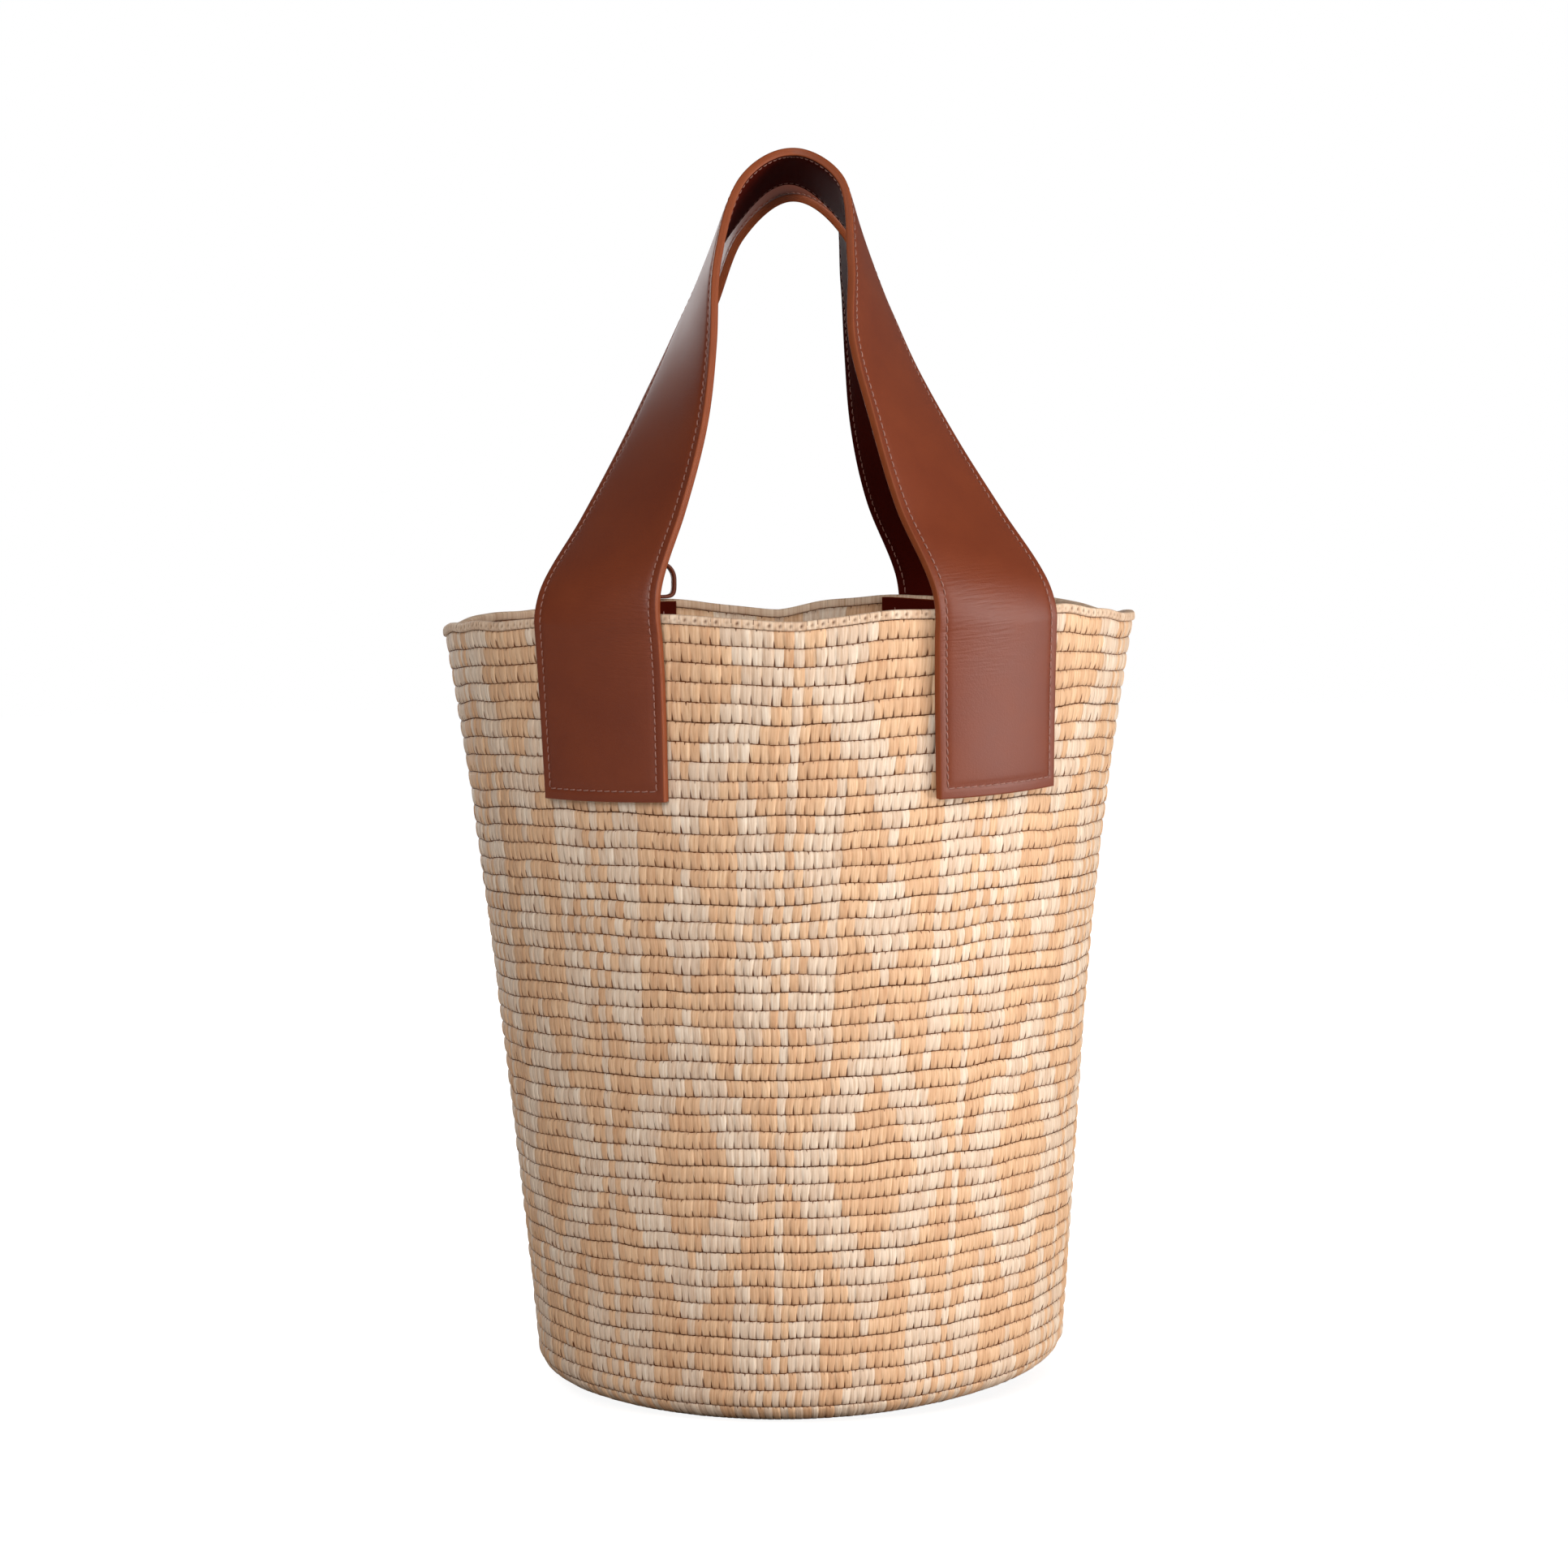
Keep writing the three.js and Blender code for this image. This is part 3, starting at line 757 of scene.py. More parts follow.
def foot_frames(below, off_wall, width, body, strap):
    """The strip on the wall, at distances below the rim along a slanted line, and its direction.

    The line turns round the wall by the distance times the sine of the slant. The strip's
    middle stands in from the wall's curve by the height of the chord across its width.
    """
    slant = strap.foot_slant
    height = body.height - below * math.cos(slant)
    radius, slope = wall_shape(height, body)
    radius = radius + off_wall
    angle = strap.foot_angle + below * math.sin(slant) / radius
    rising = radial(angle) * slope[:, None]
    rising[:, 2] = 1
    rising = unit(rising)
    across = tangent(angle) * math.cos(slant) + rising * math.sin(slant)
    along = rising * math.cos(slant) - tangent(angle) * math.sin(slant)
    bulge = width**2 / (8 * radius)[:, None]
    centre = radial(angle) * (radius[:, None] - bulge)
    centre[:, 2] = height
    return Frames(centre, across, unit(np.cross(across, along)), bulge), along


class StrapLine:
    """The line of one strap from the right foot's end over the crown to the left foot's end."""

    def __init__(self, side, body, strap):
        self.side = side
        self.body = body
        self.strap = strap
        self.off_wall = body.clearance + strap.thickness
        rim, rim_along = foot_frames(np.zeros(1), self.off_wall, strap.width, body, strap)
        self.rim = rim
        crown_across = across_from(math.pi / 2, strap.crown_pitch)
        crown_depth = -(strap.handle_gap + strap.width * crown_across[1]) / 2
        along, side, depth, rise, turn, tilt = LEG_STATION_SHARES.T
        legs = np.stack([
            rim.centre[0, 0] * side,
            crown_depth + (rim.centre[0, 1] - crown_depth) * depth,
            body.height + strap.crown_rise * rise], -1)
        crown = np.array([[0.0, crown_depth, body.height + strap.crown_rise]])
        half = np.concatenate([rim.centre, legs])
        half_across = np.concatenate([rim.across, across_from(np.radians(turn), np.radians(tilt))])
        half_along = np.concatenate([[0.0], along])
        self.knots = np.concatenate([half_along, [1.0], 2 - half_along[::-1]])
        self.centres = np.concatenate([half, crown, half[::-1] * MIRROR])
        self.acrosses = np.concatenate(
            [half_across, crown_across[None], half_across[::-1] * MIRROR])
        self.centre_slopes = self.slopes(self.centres)
        self.across_slopes = self.slopes(self.acrosses)
        lengths = np.linalg.norm(self.centre_slopes[[0, -1]], axis=1)
        self.centre_slopes[0] = rim_along[0] * lengths[0]
        self.centre_slopes[-1] = -rim_along[0] * MIRROR * lengths[1]
        self.half_length = np.linalg.norm(half[1] - half[0]) / along[0]
        self.length = 2 * (strap.foot_length + self.half_length)

    def slopes(self, values):
        """Slope at each knot, from the value before it to the value after it."""
        place = np.arange(len(self.knots))
        before = np.maximum(place - 1, 0)
        after = np.minimum(place + 1, place[-1])
        return (values[after] - values[before]) / (self.knots[after] - self.knots[before])[:, None]

    def handle_frames(self, along):
        """The free part: a cubic through the stations, its outside square to both directions."""
        def centre_at(place):
            return hermite(self.knots, self.centres, self.centre_slopes, np.clip(place, 0, 2))

        direction = unit(centre_at(along + DIRECTION_PROBE) - centre_at(along - DIRECTION_PROBE))
        across = unit(hermite(self.knots, self.acrosses, self.across_slopes, along))
        fade = 1 - smooth_step(np.minimum(along, 2 - along) / FLAT_SHARE)
        bulge = self.rim.bulge * fade[:, None]
        return Frames(centre_at(along), across, unit(np.cross(across, direction)), bulge)

    def frames(self, distance):
        """Frames at distances along the strap. The left half is the right half's mirror image."""
        flat = distance.ravel()
        near = np.minimum(flat, self.length - flat)
        foot = self.strap.foot_length
        below = np.maximum(foot - near, 0)
        on_wall, _ = foot_frames(below, self.off_wall, self.strap.width, self.body, self.strap)
        free = self.handle_frames(np.maximum(near - foot, 0) / self.half_length)
        on_foot = (near < foot)[:, None]
        mirror = np.where((flat > self.length / 2)[:, None], MIRROR, 1.0)
        centre, across, outside = (
            np.where(on_foot, a, b) * mirror for a, b in zip(on_wall[:3], free[:3]))
        along = (near - foot) / self.half_length
        centre, across, outside = self.hang(centre, across, outside, along, mirror[:, 0])
        return Frames(centre, across, outside, np.where(on_foot, on_wall.bulge, free.bulge))

    def hang(self, centre, across, outside, along, hand):
        """The soft strap's own hang: each leg steps aside, rises and turns by its table.

        The steps run level into the crown, which is tilted about its own middle line.
        """
        steps, crown_tilt = HANGS[self.side]
        slopes = [np.gradient(leg, HANG_SHARES, axis=0) for leg in steps]
        for slope in slopes:
            slope[-1] = 0
        place = np.clip(along, HANG_SHARES[0], HANG_SHARES[-1])
        right, left = (hermite(HANG_SHARES, *pair, place) for pair in zip(steps, slopes))
        aside, rise, turn = np.where((hand > 0)[:, None], right, left).T
        centre = centre + np.stack([aside, np.zeros_like(aside), rise], -1) * MILLIMETRE
        across, outside = (turned(part, np.radians(turn)) for part in (across, outside))
        to_crown = smooth_step((place - TILT_START_SHARE) / (1 - TILT_START_SHARE))
        tilt = np.radians(crown_tilt) * to_crown[:, None]
        return (centre, across * np.cos(tilt) + outside * np.sin(tilt),
                outside * np.cos(tilt) - across * np.sin(tilt))

    def skew(self, distance, sideways):
        """How far the slanting cut of a foot's end moves points along, fading up the foot."""
        strap = self.strap
        from_end = np.minimum(distance, self.length - distance)
        fade = 1 - smooth_step(from_end / strap.foot_length)
        cut = np.where(distance < self.length / 2, -math.tan(strap.right_foot_cut),
                       math.tan(strap.left_foot_cut))
        return sideways * cut * fade


class PatchLine:
    """The line of a patch inside the wall, from its lower end up to just under the rim."""

    def __init__(self, body, strap, side):
        self.body = body
        self.strap = strap
        self.mirror = np.array([side, 1.0, 1.0])
        self.off_wall = -body.wall_thickness - body.clearance
        top = body.height - EDGING_BOTTOM + strap.patch_drop
        self.length = strap.patch_length - top

    def frames(self, distance):
        """Frames at distances up from the patch's lower end."""
        below = self.strap.patch_length - distance.ravel()
        width = self.strap.width + 2 * self.strap.patch_margin
        made, _ = foot_frames(below, self.off_wall, width, self.body, self.strap)
        centre, across, outside = (part * self.mirror for part in made[:3])
        return Frames(centre, across, outside, made.bulge)

    def skew(self, distance, sideways):
        """The cut that makes the patch's upper end level, fading down to a square lower end."""
        return -sideways * math.tan(self.strap.foot_slant) * smooth_step(distance / self.length)


# Sheets of leather


class Sheet(NamedTuple):
    """A cut sheet: its line, half its width, its rows of points and its seams' two insets."""

    line: object
    half_width: float
    rows: np.ndarray
    seam_insets: tuple


def strip_points(sheet, distance, sideways, depth):
    """Points of a strip: its middle, plus sideways across it, plus the bulge less the depth.

    The bulge fades with the square of the share of the strip's half width. The cut of its end
    moves the points along it.
    """
    shape = np.broadcast_shapes(distance.shape, sideways.shape, depth.shape)
    distance, sideways, depth = (np.broadcast_to(a, shape) for a in (distance, sideways, depth))
    frames = sheet.line.frames(distance + sheet.line.skew(distance, sideways))
    share = (sideways / sheet.half_width).reshape(-1, 1)
    lift = frames.bulge * (1 - share**2) - depth.reshape(-1, 1)
    points = frames.centre + frames.across * sideways.reshape(-1, 1) + frames.outside * lift
    return points.reshape(*shape, 3), frames.outside.reshape(*shape, 3)


# Distances of points in from an edge, where the edge is rounded and where its seam lies. A
# sheet's ends have only the first of them
EDGE_STEPS = np.array([0.0, 0.00012, 0.0004, 0.0008, 0.0022, 0.0029, 0.0035, 0.0041, 0.0048,
                       0.0064, 0.0094, 0.0134, 0.018, 0.024])
END_STEPS = 9
LEAST_STEP = 0.00009
# The leather's edge and the paint on it, the groove that its seam lies in, and how the leather
# swells inside the seam
EDGE_ROUND = 0.0006
PAINTED_EDGE = 0.0005
SEAM_GROOVE = 0.00034
SEAM_GROOVE_WIDTH = 0.0007
PILLOW = 0.0004
PILLOW_REACH = 0.004
# Where a strap creases: above the rim, how far from there, and where across it that fades
CREASE_ABOVE = 0.006
CREASE_REACH = 0.022
CREASE_SIDE_SHARE = 0.7


def strip_relief(aside, from_end, seam_insets):
    """Depth of a leather face: a rounded edge, a groove along the seam and a pillow inside it.

    The edge is a quarter circle in the distance to the nearest edge. The groove is a bell
    curve, and the pillow rises with an exponential, both in the distance to the seam.
    """
    edge = np.minimum(aside, from_end)
    short = np.clip(EDGE_ROUND - edge, 0, EDGE_ROUND)
    rounding = EDGE_ROUND - np.sqrt(EDGE_ROUND**2 - short**2)
    inside = np.minimum(aside - seam_insets[0], from_end - seam_insets[1])
    groove = SEAM_GROOVE * hump(inside, SEAM_GROOVE_WIDTH)
    pillow = PILLOW * (1 - np.exp(-np.maximum(inside, 0) / PILLOW_REACH))
    return rounding + groove - pillow


def strap_creases(from_end, sideways, strap):
    """How creased the strap is, from 0 to 1: a bell curve over the bend, most at its inner edge."""
    above = from_end - strap.foot_length - CREASE_ABOVE
    across = smooth_step(CREASE_SIDE_SHARE - sideways / (strap.width / 2))
    return hump(above, CREASE_REACH) * across


def edge_spaced(length, step, bends=()):
    """Distances from end to end, close together at the ends and in each bend's stretch."""
    inner = np.arange(EDGE_STEPS[END_STEPS], length - EDGE_STEPS[END_STEPS], step)
    parts = [EDGE_STEPS[:END_STEPS], inner, length - EDGE_STEPS[:END_STEPS]]
    for low, high in bends:
        parts = [part[(part < low) | (part > high)] for part in parts]
        parts.append(np.arange(low, high, BEND_STEP))
    rows = np.sort(np.concatenate(parts))
    return rows[np.append(np.diff(rows) > LEAST_STEP, True)]


def make_strip(name, sheet, face, back, slot_name, materials, crease_strap=None):
    """One layer of leather: a show face with its relief and a plain back, closed all round.

    face and back are depths in from the strap's outside. The relief goes from the face
    towards the back. The corners of the back are sharp, and the edges take the second of
    the materials. A strap is creased, and a patch is not.
    """
    half_width, rows, line = sheet.half_width, sheet.rows, sheet.line
    columns = np.concatenate([EDGE_STEPS, [half_width], 2 * half_width - EDGE_STEPS[::-1]])
    columns = columns - half_width
    there_and_back = np.concatenate([columns, columns[::-1]])
    from_end = np.minimum(rows, line.length - rows)[:, None]
    relief = strip_relief(half_width - np.abs(columns)[None], from_end, sheet.seam_insets)
    depth = face + math.copysign(1.0, back - face) * relief
    front, behind = (
        strip_points(sheet, rows[:, None], columns[None], d)[0] for d in (depth, np.array(back)))
    points = np.concatenate([front, behind[:, ::-1]], axis=1)
    count, ring = points.shape[:2]
    low = np.arange(ring // 2 - 1)
    cap = np.stack([low, low + 1, ring - 2 - low, ring - 1 - low], -1)
    caps = np.stack([cap, cap[:, ::-1]])
    cap_rows = np.repeat([rows[0], rows[-1]], cap.size).reshape(caps.shape)
    cap_uv = np.stack([there_and_back[caps], cap_rows], -1).reshape(-1, 4, 2)
    uv = np.concatenate([grid_corners(np.append(there_and_back, columns[0]), rows), cap_uv])
    sides = closed_grid(points, False)
    quads = np.concatenate([sides, caps[0], caps[1] + (count - 1) * ring])
    across, along = uv.mean(1).T
    edge = np.minimum(half_width - np.abs(across), np.minimum(along, line.length - along))
    crease = np.zeros((count, ring))
    if crease_strap is not None:
        crease = strap_creases(from_end, there_and_back[None], crease_strap)
    sharp = np.zeros((count, ring), bool)
    sharp[:, [ring // 2, -1]] = True
    sharp[[0, -1], ring // 2:] = True
    made = mesh_object(name, points, quads, uv, {"crease": crease}, slots=edge < PAINTED_EDGE,
                       sharp=sharp)
    return dress(made, slot_name, *materials)


# One sewn stitch: shares of its length and of its thickness there, its sides and its holes
THREAD_STATION_SHARES = np.array([0.0, 0.12, 0.35, 0.65, 0.88, 1.0])
THREAD_TAPER_SHARES = np.array([0.6, 1.0, 1.0, 1.0, 1.0, 0.6])
THREAD_SIDES = 6
THREAD_SUNK = 0.0005
THREAD_RISE = 0.0005
THREAD_ARCH = 0.6
STITCH_LENGTH_SHARE = 0.78
STITCH_SLANT = 0.00022


def thread_mesh(centres, outward, radius):
    """Short closed threads. A round section is carried along each row of centres."""
    along = unit(np.gradient(centres, axis=1))
    side = unit(np.cross(along, outward))
    up = np.cross(side, along)
    turn = (np.arange(THREAD_SIDES) * FULL_TURN / THREAD_SIDES)[:, None]
    taper = THREAD_TAPER_SHARES[None, :, None, None] * radius
    section = side[:, :, None] * np.cos(turn) + up[:, :, None] * np.sin(turn)
    rings = centres[:, :, None] + taper * section
    count, stations = centres.shape[:2]
    tube = closed_grid(rings[0], False)
    start = np.array([[0, 3, 2, 1], [0, 5, 4, 3]])
    end = np.array([[0, 1, 2, 3], [0, 3, 4, 5]]) + (stations - 1) * THREAD_SIDES
    one = np.concatenate([tube, start, end])
    offsets = np.arange(count) * stations * THREAD_SIDES
    return rings.reshape(-1, 3), (one[None] + offsets[:, None, None]).reshape(-1, 4)


def stitch_row(sheet, depth, towards, seam, strap):
    """Stitches along one seam, which runs with the sheet or across it.

    Each stitch slants a little, rises from its first hole and dives into its second, by a
    power of a sine. A seam has its start, its end, its place beside them, and across.
    """
    start, end, beside, across = seam
    count = int(round((end - start) / strap.stitch_pitch))
    pitch = (end - start) / count
    share = THREAD_STATION_SHARES[None]
    step = np.arange(count)[:, None] + 0.5 + (share - 0.5) * STITCH_LENGTH_SHARE
    run = start + step * pitch
    lean = 1.0 if across else math.copysign(1.0, beside)
    slanted = beside + STITCH_SLANT * (share - 0.5) * lean
    lift = depth + towards * (THREAD_SUNK - THREAD_RISE * np.sin(math.pi * share) ** THREAD_ARCH)
    distance, sideways = (slanted, run) if across else (run, slanted)
    points, outside = strip_points(sheet, distance, sideways, lift)
    return thread_mesh(points, outside, strap.thread / 2)


def sew(name, sheet, depth, towards, seams, strap, thread):
    """Sews a sheet's seams as one piece, at a depth and raised towards one of its faces."""
    parts = [stitch_row(sheet, depth, towards, seam, strap) for seam in seams]
    return dress(mesh_object(name, *joined(parts)), "thread", thread)


def bend_with_handle(made, side):
    """Puts a strap's piece's transform into its points; the handle's hinge is looked up, and the
    piece is not bent.
    """
    handle = f"{side}_handle"
    x, y, z = HINGES[handle]
    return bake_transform(made)


def half_turned(points):
    """The points turned by half a turn about Z."""
    return points * np.array([-1, -1, 1])


def lifted(points, body):
    """The points lifted with the fabric that they are sewn to."""
    angle = np.arctan2(points[:, 0], -points[:, 1])
    points[:, 2] += fabric_wave(angle, np.minimum(points[:, 2], body.height), body)
    return points


# Distances between rows of points, on a strap, on a patch, and in a strap's bend, which reaches
# this far below and above the rim
STRAP_STEP = 0.0018
PATCH_STEP = 0.003
BEND_STEP = 0.0006
BEND_BELOW = 0.02
BEND_ABOVE = 0.045
# Half the gap between two layers, and how far above the rim a lining's seams start and below the
# upper end a patch's seams stop
LAYER_GAP = 0.00002
LINING_SEAM_START = 0.001
PATCH_SEAM_END = 0.004


def make_strap(side, body, strap, leather, lining, edge, thread):
    """One strap: its outer layer, its lining and the stitches of both faces."""
    line = StrapLine(side, body, strap)
    half = strap.width / 2
    rim, far_rim = strap.foot_length, line.length - strap.foot_length
    bends = [(rim - BEND_BELOW, rim + BEND_ABOVE), (far_rim - BEND_ABOVE, far_rim + BEND_BELOW)]
    rows = edge_spaced(line.length, STRAP_STEP, bends)
    sheet = Sheet(line, half, rows, (strap.seam_inset, strap.end_seam_inset))
    middle = strap.thickness / 2
    outer = make_strip(f"{side}_strap_outer", sheet, 0.0, middle - LAYER_GAP, "outer_leather",
                       [leather, edge], strap)
    inner = make_strip(f"{side}_strap_lining", sheet, strap.thickness, middle + LAYER_GAP,
                       "lining_leather", [lining, edge], strap)
    seam = half - strap.seam_inset
    first, last = strap.end_seam_inset, line.length - strap.end_seam_inset
    seams = [(first, last, hand * seam, False) for hand in (-1, 1)]
    seams += [(-seam, seam, place, True) for place in (first, last)]
    outer_thread = sew(f"{side}_strap_outer_stitches", sheet, 0.0, 1, seams, strap, thread)
    first, last = rim + LINING_SEAM_START, far_rim - LINING_SEAM_START
    seams = [(first, last, hand * seam, False) for hand in (-1, 1)]
    inner_thread = sew(f"{side}_strap_lining_stitches", sheet, strap.thickness, -1, seams, strap,
                       thread)
    feet = [f"{side}_left_foot", f"{side}_right_foot"]
    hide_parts(f"{side}_handle_outer", *(f"{foot}_outer" for foot in feet))
    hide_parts(f"{side}_handle_lining", *(f"{foot}_lining" for foot in feet))
    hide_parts(f"{side}_handle_outward_seam", f"{side}_handle_middle_seam",
                *(f"{foot}_seam" for foot in feet))
    for piece in (outer, inner, outer_thread, inner_thread):
        if side == "back":
            move_points(piece, half_turned)
        bend_with_handle(piece, side)


def make_patch(side, hand, body, strap, lining, edge, thread):
    """One leather patch on the inside of the wall, with the foot's seam sewn through it."""
    line = PatchLine(body, strap, 1.0 if hand == "right" else -1.0)
    half = strap.width / 2
    inset = strap.seam_inset + strap.patch_margin
    rows = edge_spaced(line.length, PATCH_STEP)
    sheet = Sheet(line, half + strap.patch_margin, rows, (inset, inset))
    patch = make_strip(f"{side}_{hand}_inner_patch_leather", sheet, strap.leather, 2 * LAYER_GAP,
                       "lining_leather", [lining, edge])
    seam = half - strap.seam_inset
    low, high = strap.patch_margin + strap.end_seam_inset, line.length - PATCH_SEAM_END
    seams = [(low, high, -seam, False), (low, high, seam, False), (-seam, seam, low, True)]
    stitches = sew(f"{side}_{hand}_inner_patch_stitches", sheet, strap.leather, -1, seams, strap,
                   thread)
    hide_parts(f"{side}_{hand}_inner_patch")
    for piece in (patch, stitches):
        if side == "back":
            move_points(piece, half_turned)
        move_points(piece, lambda points: lifted(points, body))
        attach(piece, "root")


# Section of the small loop's strip, as shares of its half width and half thickness
LOOP_SECTION_SHARES = np.array([
    [-1.0, -0.5], [-0.8, -1.0], [0.8, -1.0], [1.0, -0.5], [1.0, 0.5], [0.8, 1.0],
    [-0.8, 1.0], [-1.0, 0.5]])
LOOP_STEPS = 96
LOOP_STRIP = 0.0016
LOOP_WIDE = 0.0036
LOOP_ASIDE = 0.0044
LOOP_LOWER = 0.0009
LOOP_UV_STEP = 0.0007
# How square the loop is below and above
LOOP_POWERS = (0.45, 0.95)


def make_loop(leather, body):
    """The small loop: a narrow strip bent into an arch over a flat foot.

    Its middle line is a superellipse that is squarer below, and a rounded section is carried
    along it.
    """
    low, high = (np.array(corner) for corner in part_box("small_loop"))
    middle = (low + high) / 2 + np.array([LOOP_ASIDE, 0.0, -LOOP_LOWER])
    turn = math.atan2(-middle[0], middle[1])
    across, out = tangent(np.array(turn)), -radial(np.array(turn))
    up = np.array([0.0, 0.0, 1.0])
    half_wide = ((high - low)[0] - LOOP_WIDE * abs(math.sin(turn))) / math.cos(turn) / 2
    half_wide = half_wide - LOOP_STRIP / 2
    half_high = (high - low)[2] / 2 - LOOP_STRIP / 2 - LOOP_LOWER
    angle = np.arange(LOOP_STEPS) * FULL_TURN / LOOP_STEPS
    power = np.where(np.sin(angle) < 0, *LOOP_POWERS)
    x = squared(np.cos(angle), power) * half_wide
    z = squared(np.sin(angle), power) * half_high
    centres = middle + x[:, None] * across + z[:, None] * up
    along = unit(np.roll(centres, -1, axis=0) - np.roll(centres, 1, axis=0))
    outside = np.cross(out, along)
    wide, thick = LOOP_SECTION_SHARES.T[:, None, :, None] / 2
    points = centres[:, None] + out * wide * LOOP_WIDE + outside[:, None] * thick * LOOP_STRIP
    around = np.arange(len(LOOP_SECTION_SHARES) + 1) * LOOP_WIDE / 4
    uv = grid_corners(around, np.arange(LOOP_STEPS + 1) * LOOP_UV_STEP)
    made = mesh_object("small_loop_strip", points, closed_grid(points), uv)
    move_points(made, lambda points: lifted(points, body))
    return set_on_body(made, "small_loop", "lining_leather", leather)


# Materials


class Shading:
    """The nodes of one material, or of the world, in front of its own shader."""

    def __init__(self, owner, shader="Principled BSDF"):
        owner.use_nodes = True
        self.owner = owner
        self.shader = owner.node_tree.nodes[shader]

    def fill(self, node, inputs):
        """Gives each input another node's socket or a plain value."""
        for key, value in inputs.items():
            if isinstance(value, bpy.types.NodeSocket):
                self.owner.node_tree.links.new(value, node.inputs[key])
            else:
                node.inputs[key].default_value = value

    def add(self, kind, inputs=None, **settings):
        """Adds one node with its settings and inputs."""
        node = self.owner.node_tree.nodes.new(kind)
        for key, value in settings.items():
            setattr(node, key, value)
        self.fill(node, inputs or {})
        return node

    def finish(self, inputs):
        """Fills the shader's own inputs."""
        self.fill(self.shader, inputs)
        return self.owner

    def calculate(self, operation, *values):
        """The result of one sum."""
        inputs = dict(enumerate(values))
        return self.add("ShaderNodeMath", inputs, operation=operation).outputs[0]

    def attribute(self, name):
        """The number that the mesh holds under a name."""
        return self.add("ShaderNodeAttribute", attribute_name=name).outputs["Fac"]

    def uv(self):
        """The place on the mesh: stitches and rounds, or metres on a sheet of leather."""
        return self.add("ShaderNodeUVMap", uv_map="UVMap").outputs["UV"]

    def vector(self, *parts):
        """A vector from its parts."""
        return self.add("ShaderNodeCombineXYZ", dict(enumerate(parts))).outputs[0]

    def stretched(self, vector, scales):
        """A vector with each part scaled."""
        inputs = {"Vector": vector, "Scale": scales}
        return self.add("ShaderNodeMapping", inputs).outputs[0]

    def noise(self, vector, scale, detail, roughness=0.5, dimensions="3D"):
        """Cloudy noise from 0 to 1, with a scale in cells to one unit of the vector."""
        inputs = {"Vector": vector, "Scale": scale, "Detail": detail, "Roughness": roughness}
        return self.add("ShaderNodeTexNoise", inputs, noise_dimensions=dimensions).outputs[0]

    def ranged(self, value, **ends):
        """A number moved from one range to another."""
        inputs = {key.replace("_", " "): end for key, end in ends.items()}
        return self.add("ShaderNodeMapRange", {"Value": value, **inputs}).outputs[0]

    def mix(self, share, first, second, kind="MIX"):
        """A mix of two colours."""
        inputs = {0: share, 6: first, 7: second}
        return self.add("ShaderNodeMix", inputs, data_type="RGBA", blend_type=kind).outputs[2]

    def shade(self, colour, share, dark, light="#FFFFFF", ends=(0.0, 1.0), strength=1.0):
        """A colour multiplied by one between dark and light, as the share goes from end to end."""
        ramp = self.add("ShaderNodeValToRGB", {"Fac": share})
        for element, end, code in zip(ramp.color_ramp.elements, ends, (dark, light)):
            element.position = end
            element.color = linear(code)
        return self.mix(strength, colour, ramp.outputs["Color"], "MULTIPLY")

    def bump(self, height, strength, distance):
        """The normal over a relief of that height."""
        inputs = {"Height": height, "Strength": strength, "Distance": distance}
        return self.add("ShaderNodeBump", inputs).outputs["Normal"]


# The notches of painted shade between stitches: their place as a share of a stitch, whether they
# stand on the round below or hang from the round above, and as shares of a stitch and of a round
# their width, least height and the height that a seeded number adds
NOTCH_SHARES = [(0.0, False, 0.14, 0.2, 0.5), (0.5, True, 0.13, 0.05, 0.2)]
NOTCH_SOFT = 0.04
NOTCH_SLANT = 0.3
# The thin line of painted shade along each round: its mean half width, how soft it is and how much
# it changes
LINE_SHARE = 0.04
LINE_SOFT = 0.03
LINE_WANDER = 0.08
LINE_SCALE = 2.3
# The raffia's fibres: how far each round's are shifted, and their number in a stitch and a round
FIBRE_SHIFT = 7.31
FIBRE_SCALES = (4.2, 0.5, 1.0)
# How high the relief of the fibres and of the leather's grain is drawn
FIBRE_RELIEF = 0.0003
GRAIN_RELIEF = 0.0001


def painted_stitch_shade(shading, across, upward):
    """How dark the painted shade between the stitches is, from 0 to 1, over whole stitches and
    rounds.

    A notch narrows in a straight line from its round to nothing at its own seeded height, and
    slants by a seeded share of that. A thin line of uneven width runs along each round.
    """
    calculate = shading.calculate
    row = calculate("FLOOR", upward)
    up = calculate("FRACT", upward)
    down = calculate("SUBTRACT", 1.0, up)
    notches = []
    for start, hangs, width, least, more in NOTCH_SHARES:
        place = calculate("ADD", across, start)
        number = calculate("ROUND", place)
        where = {"Vector": shading.vector(number, row, start)}
        seeded = shading.add("ShaderNodeTexWhiteNoise", where).outputs["Color"]
        first, second, third = shading.add("ShaderNodeSeparateColor", {0: seeded}).outputs
        rise = down if hangs else up
        height = calculate("MULTIPLY_ADD", first, more, least)
        slant = calculate("MULTIPLY", calculate("SUBTRACT", second, 0.5), NOTCH_SLANT)
        lean = calculate("MULTIPLY", slant, rise)
        off = calculate("ABSOLUTE", calculate("ADD", calculate("SUBTRACT", place, number), lean))
        left = calculate("SUBTRACT", 1.0, calculate("DIVIDE", rise, height))
        room = calculate("SUBTRACT", calculate("MULTIPLY", left, width), off)
        dark = shading.ranged(room, From_Max=NOTCH_SOFT)
        notches.append(calculate("MULTIPLY", dark, calculate("MULTIPLY_ADD", third, 0.5, 0.5)))
    wander = shading.noise(shading.vector(across, row), LINE_SCALE, 2.0, dimensions="2D")
    width = calculate("MULTIPLY_ADD", wander, LINE_WANDER, LINE_SHARE - LINE_WANDER / 2)
    room = calculate("SUBTRACT", width, calculate("MINIMUM", up, down))
    line = shading.ranged(room, From_Max=LINE_SOFT)
    return calculate("MAXIMUM", calculate("MAXIMUM", *notches), line)


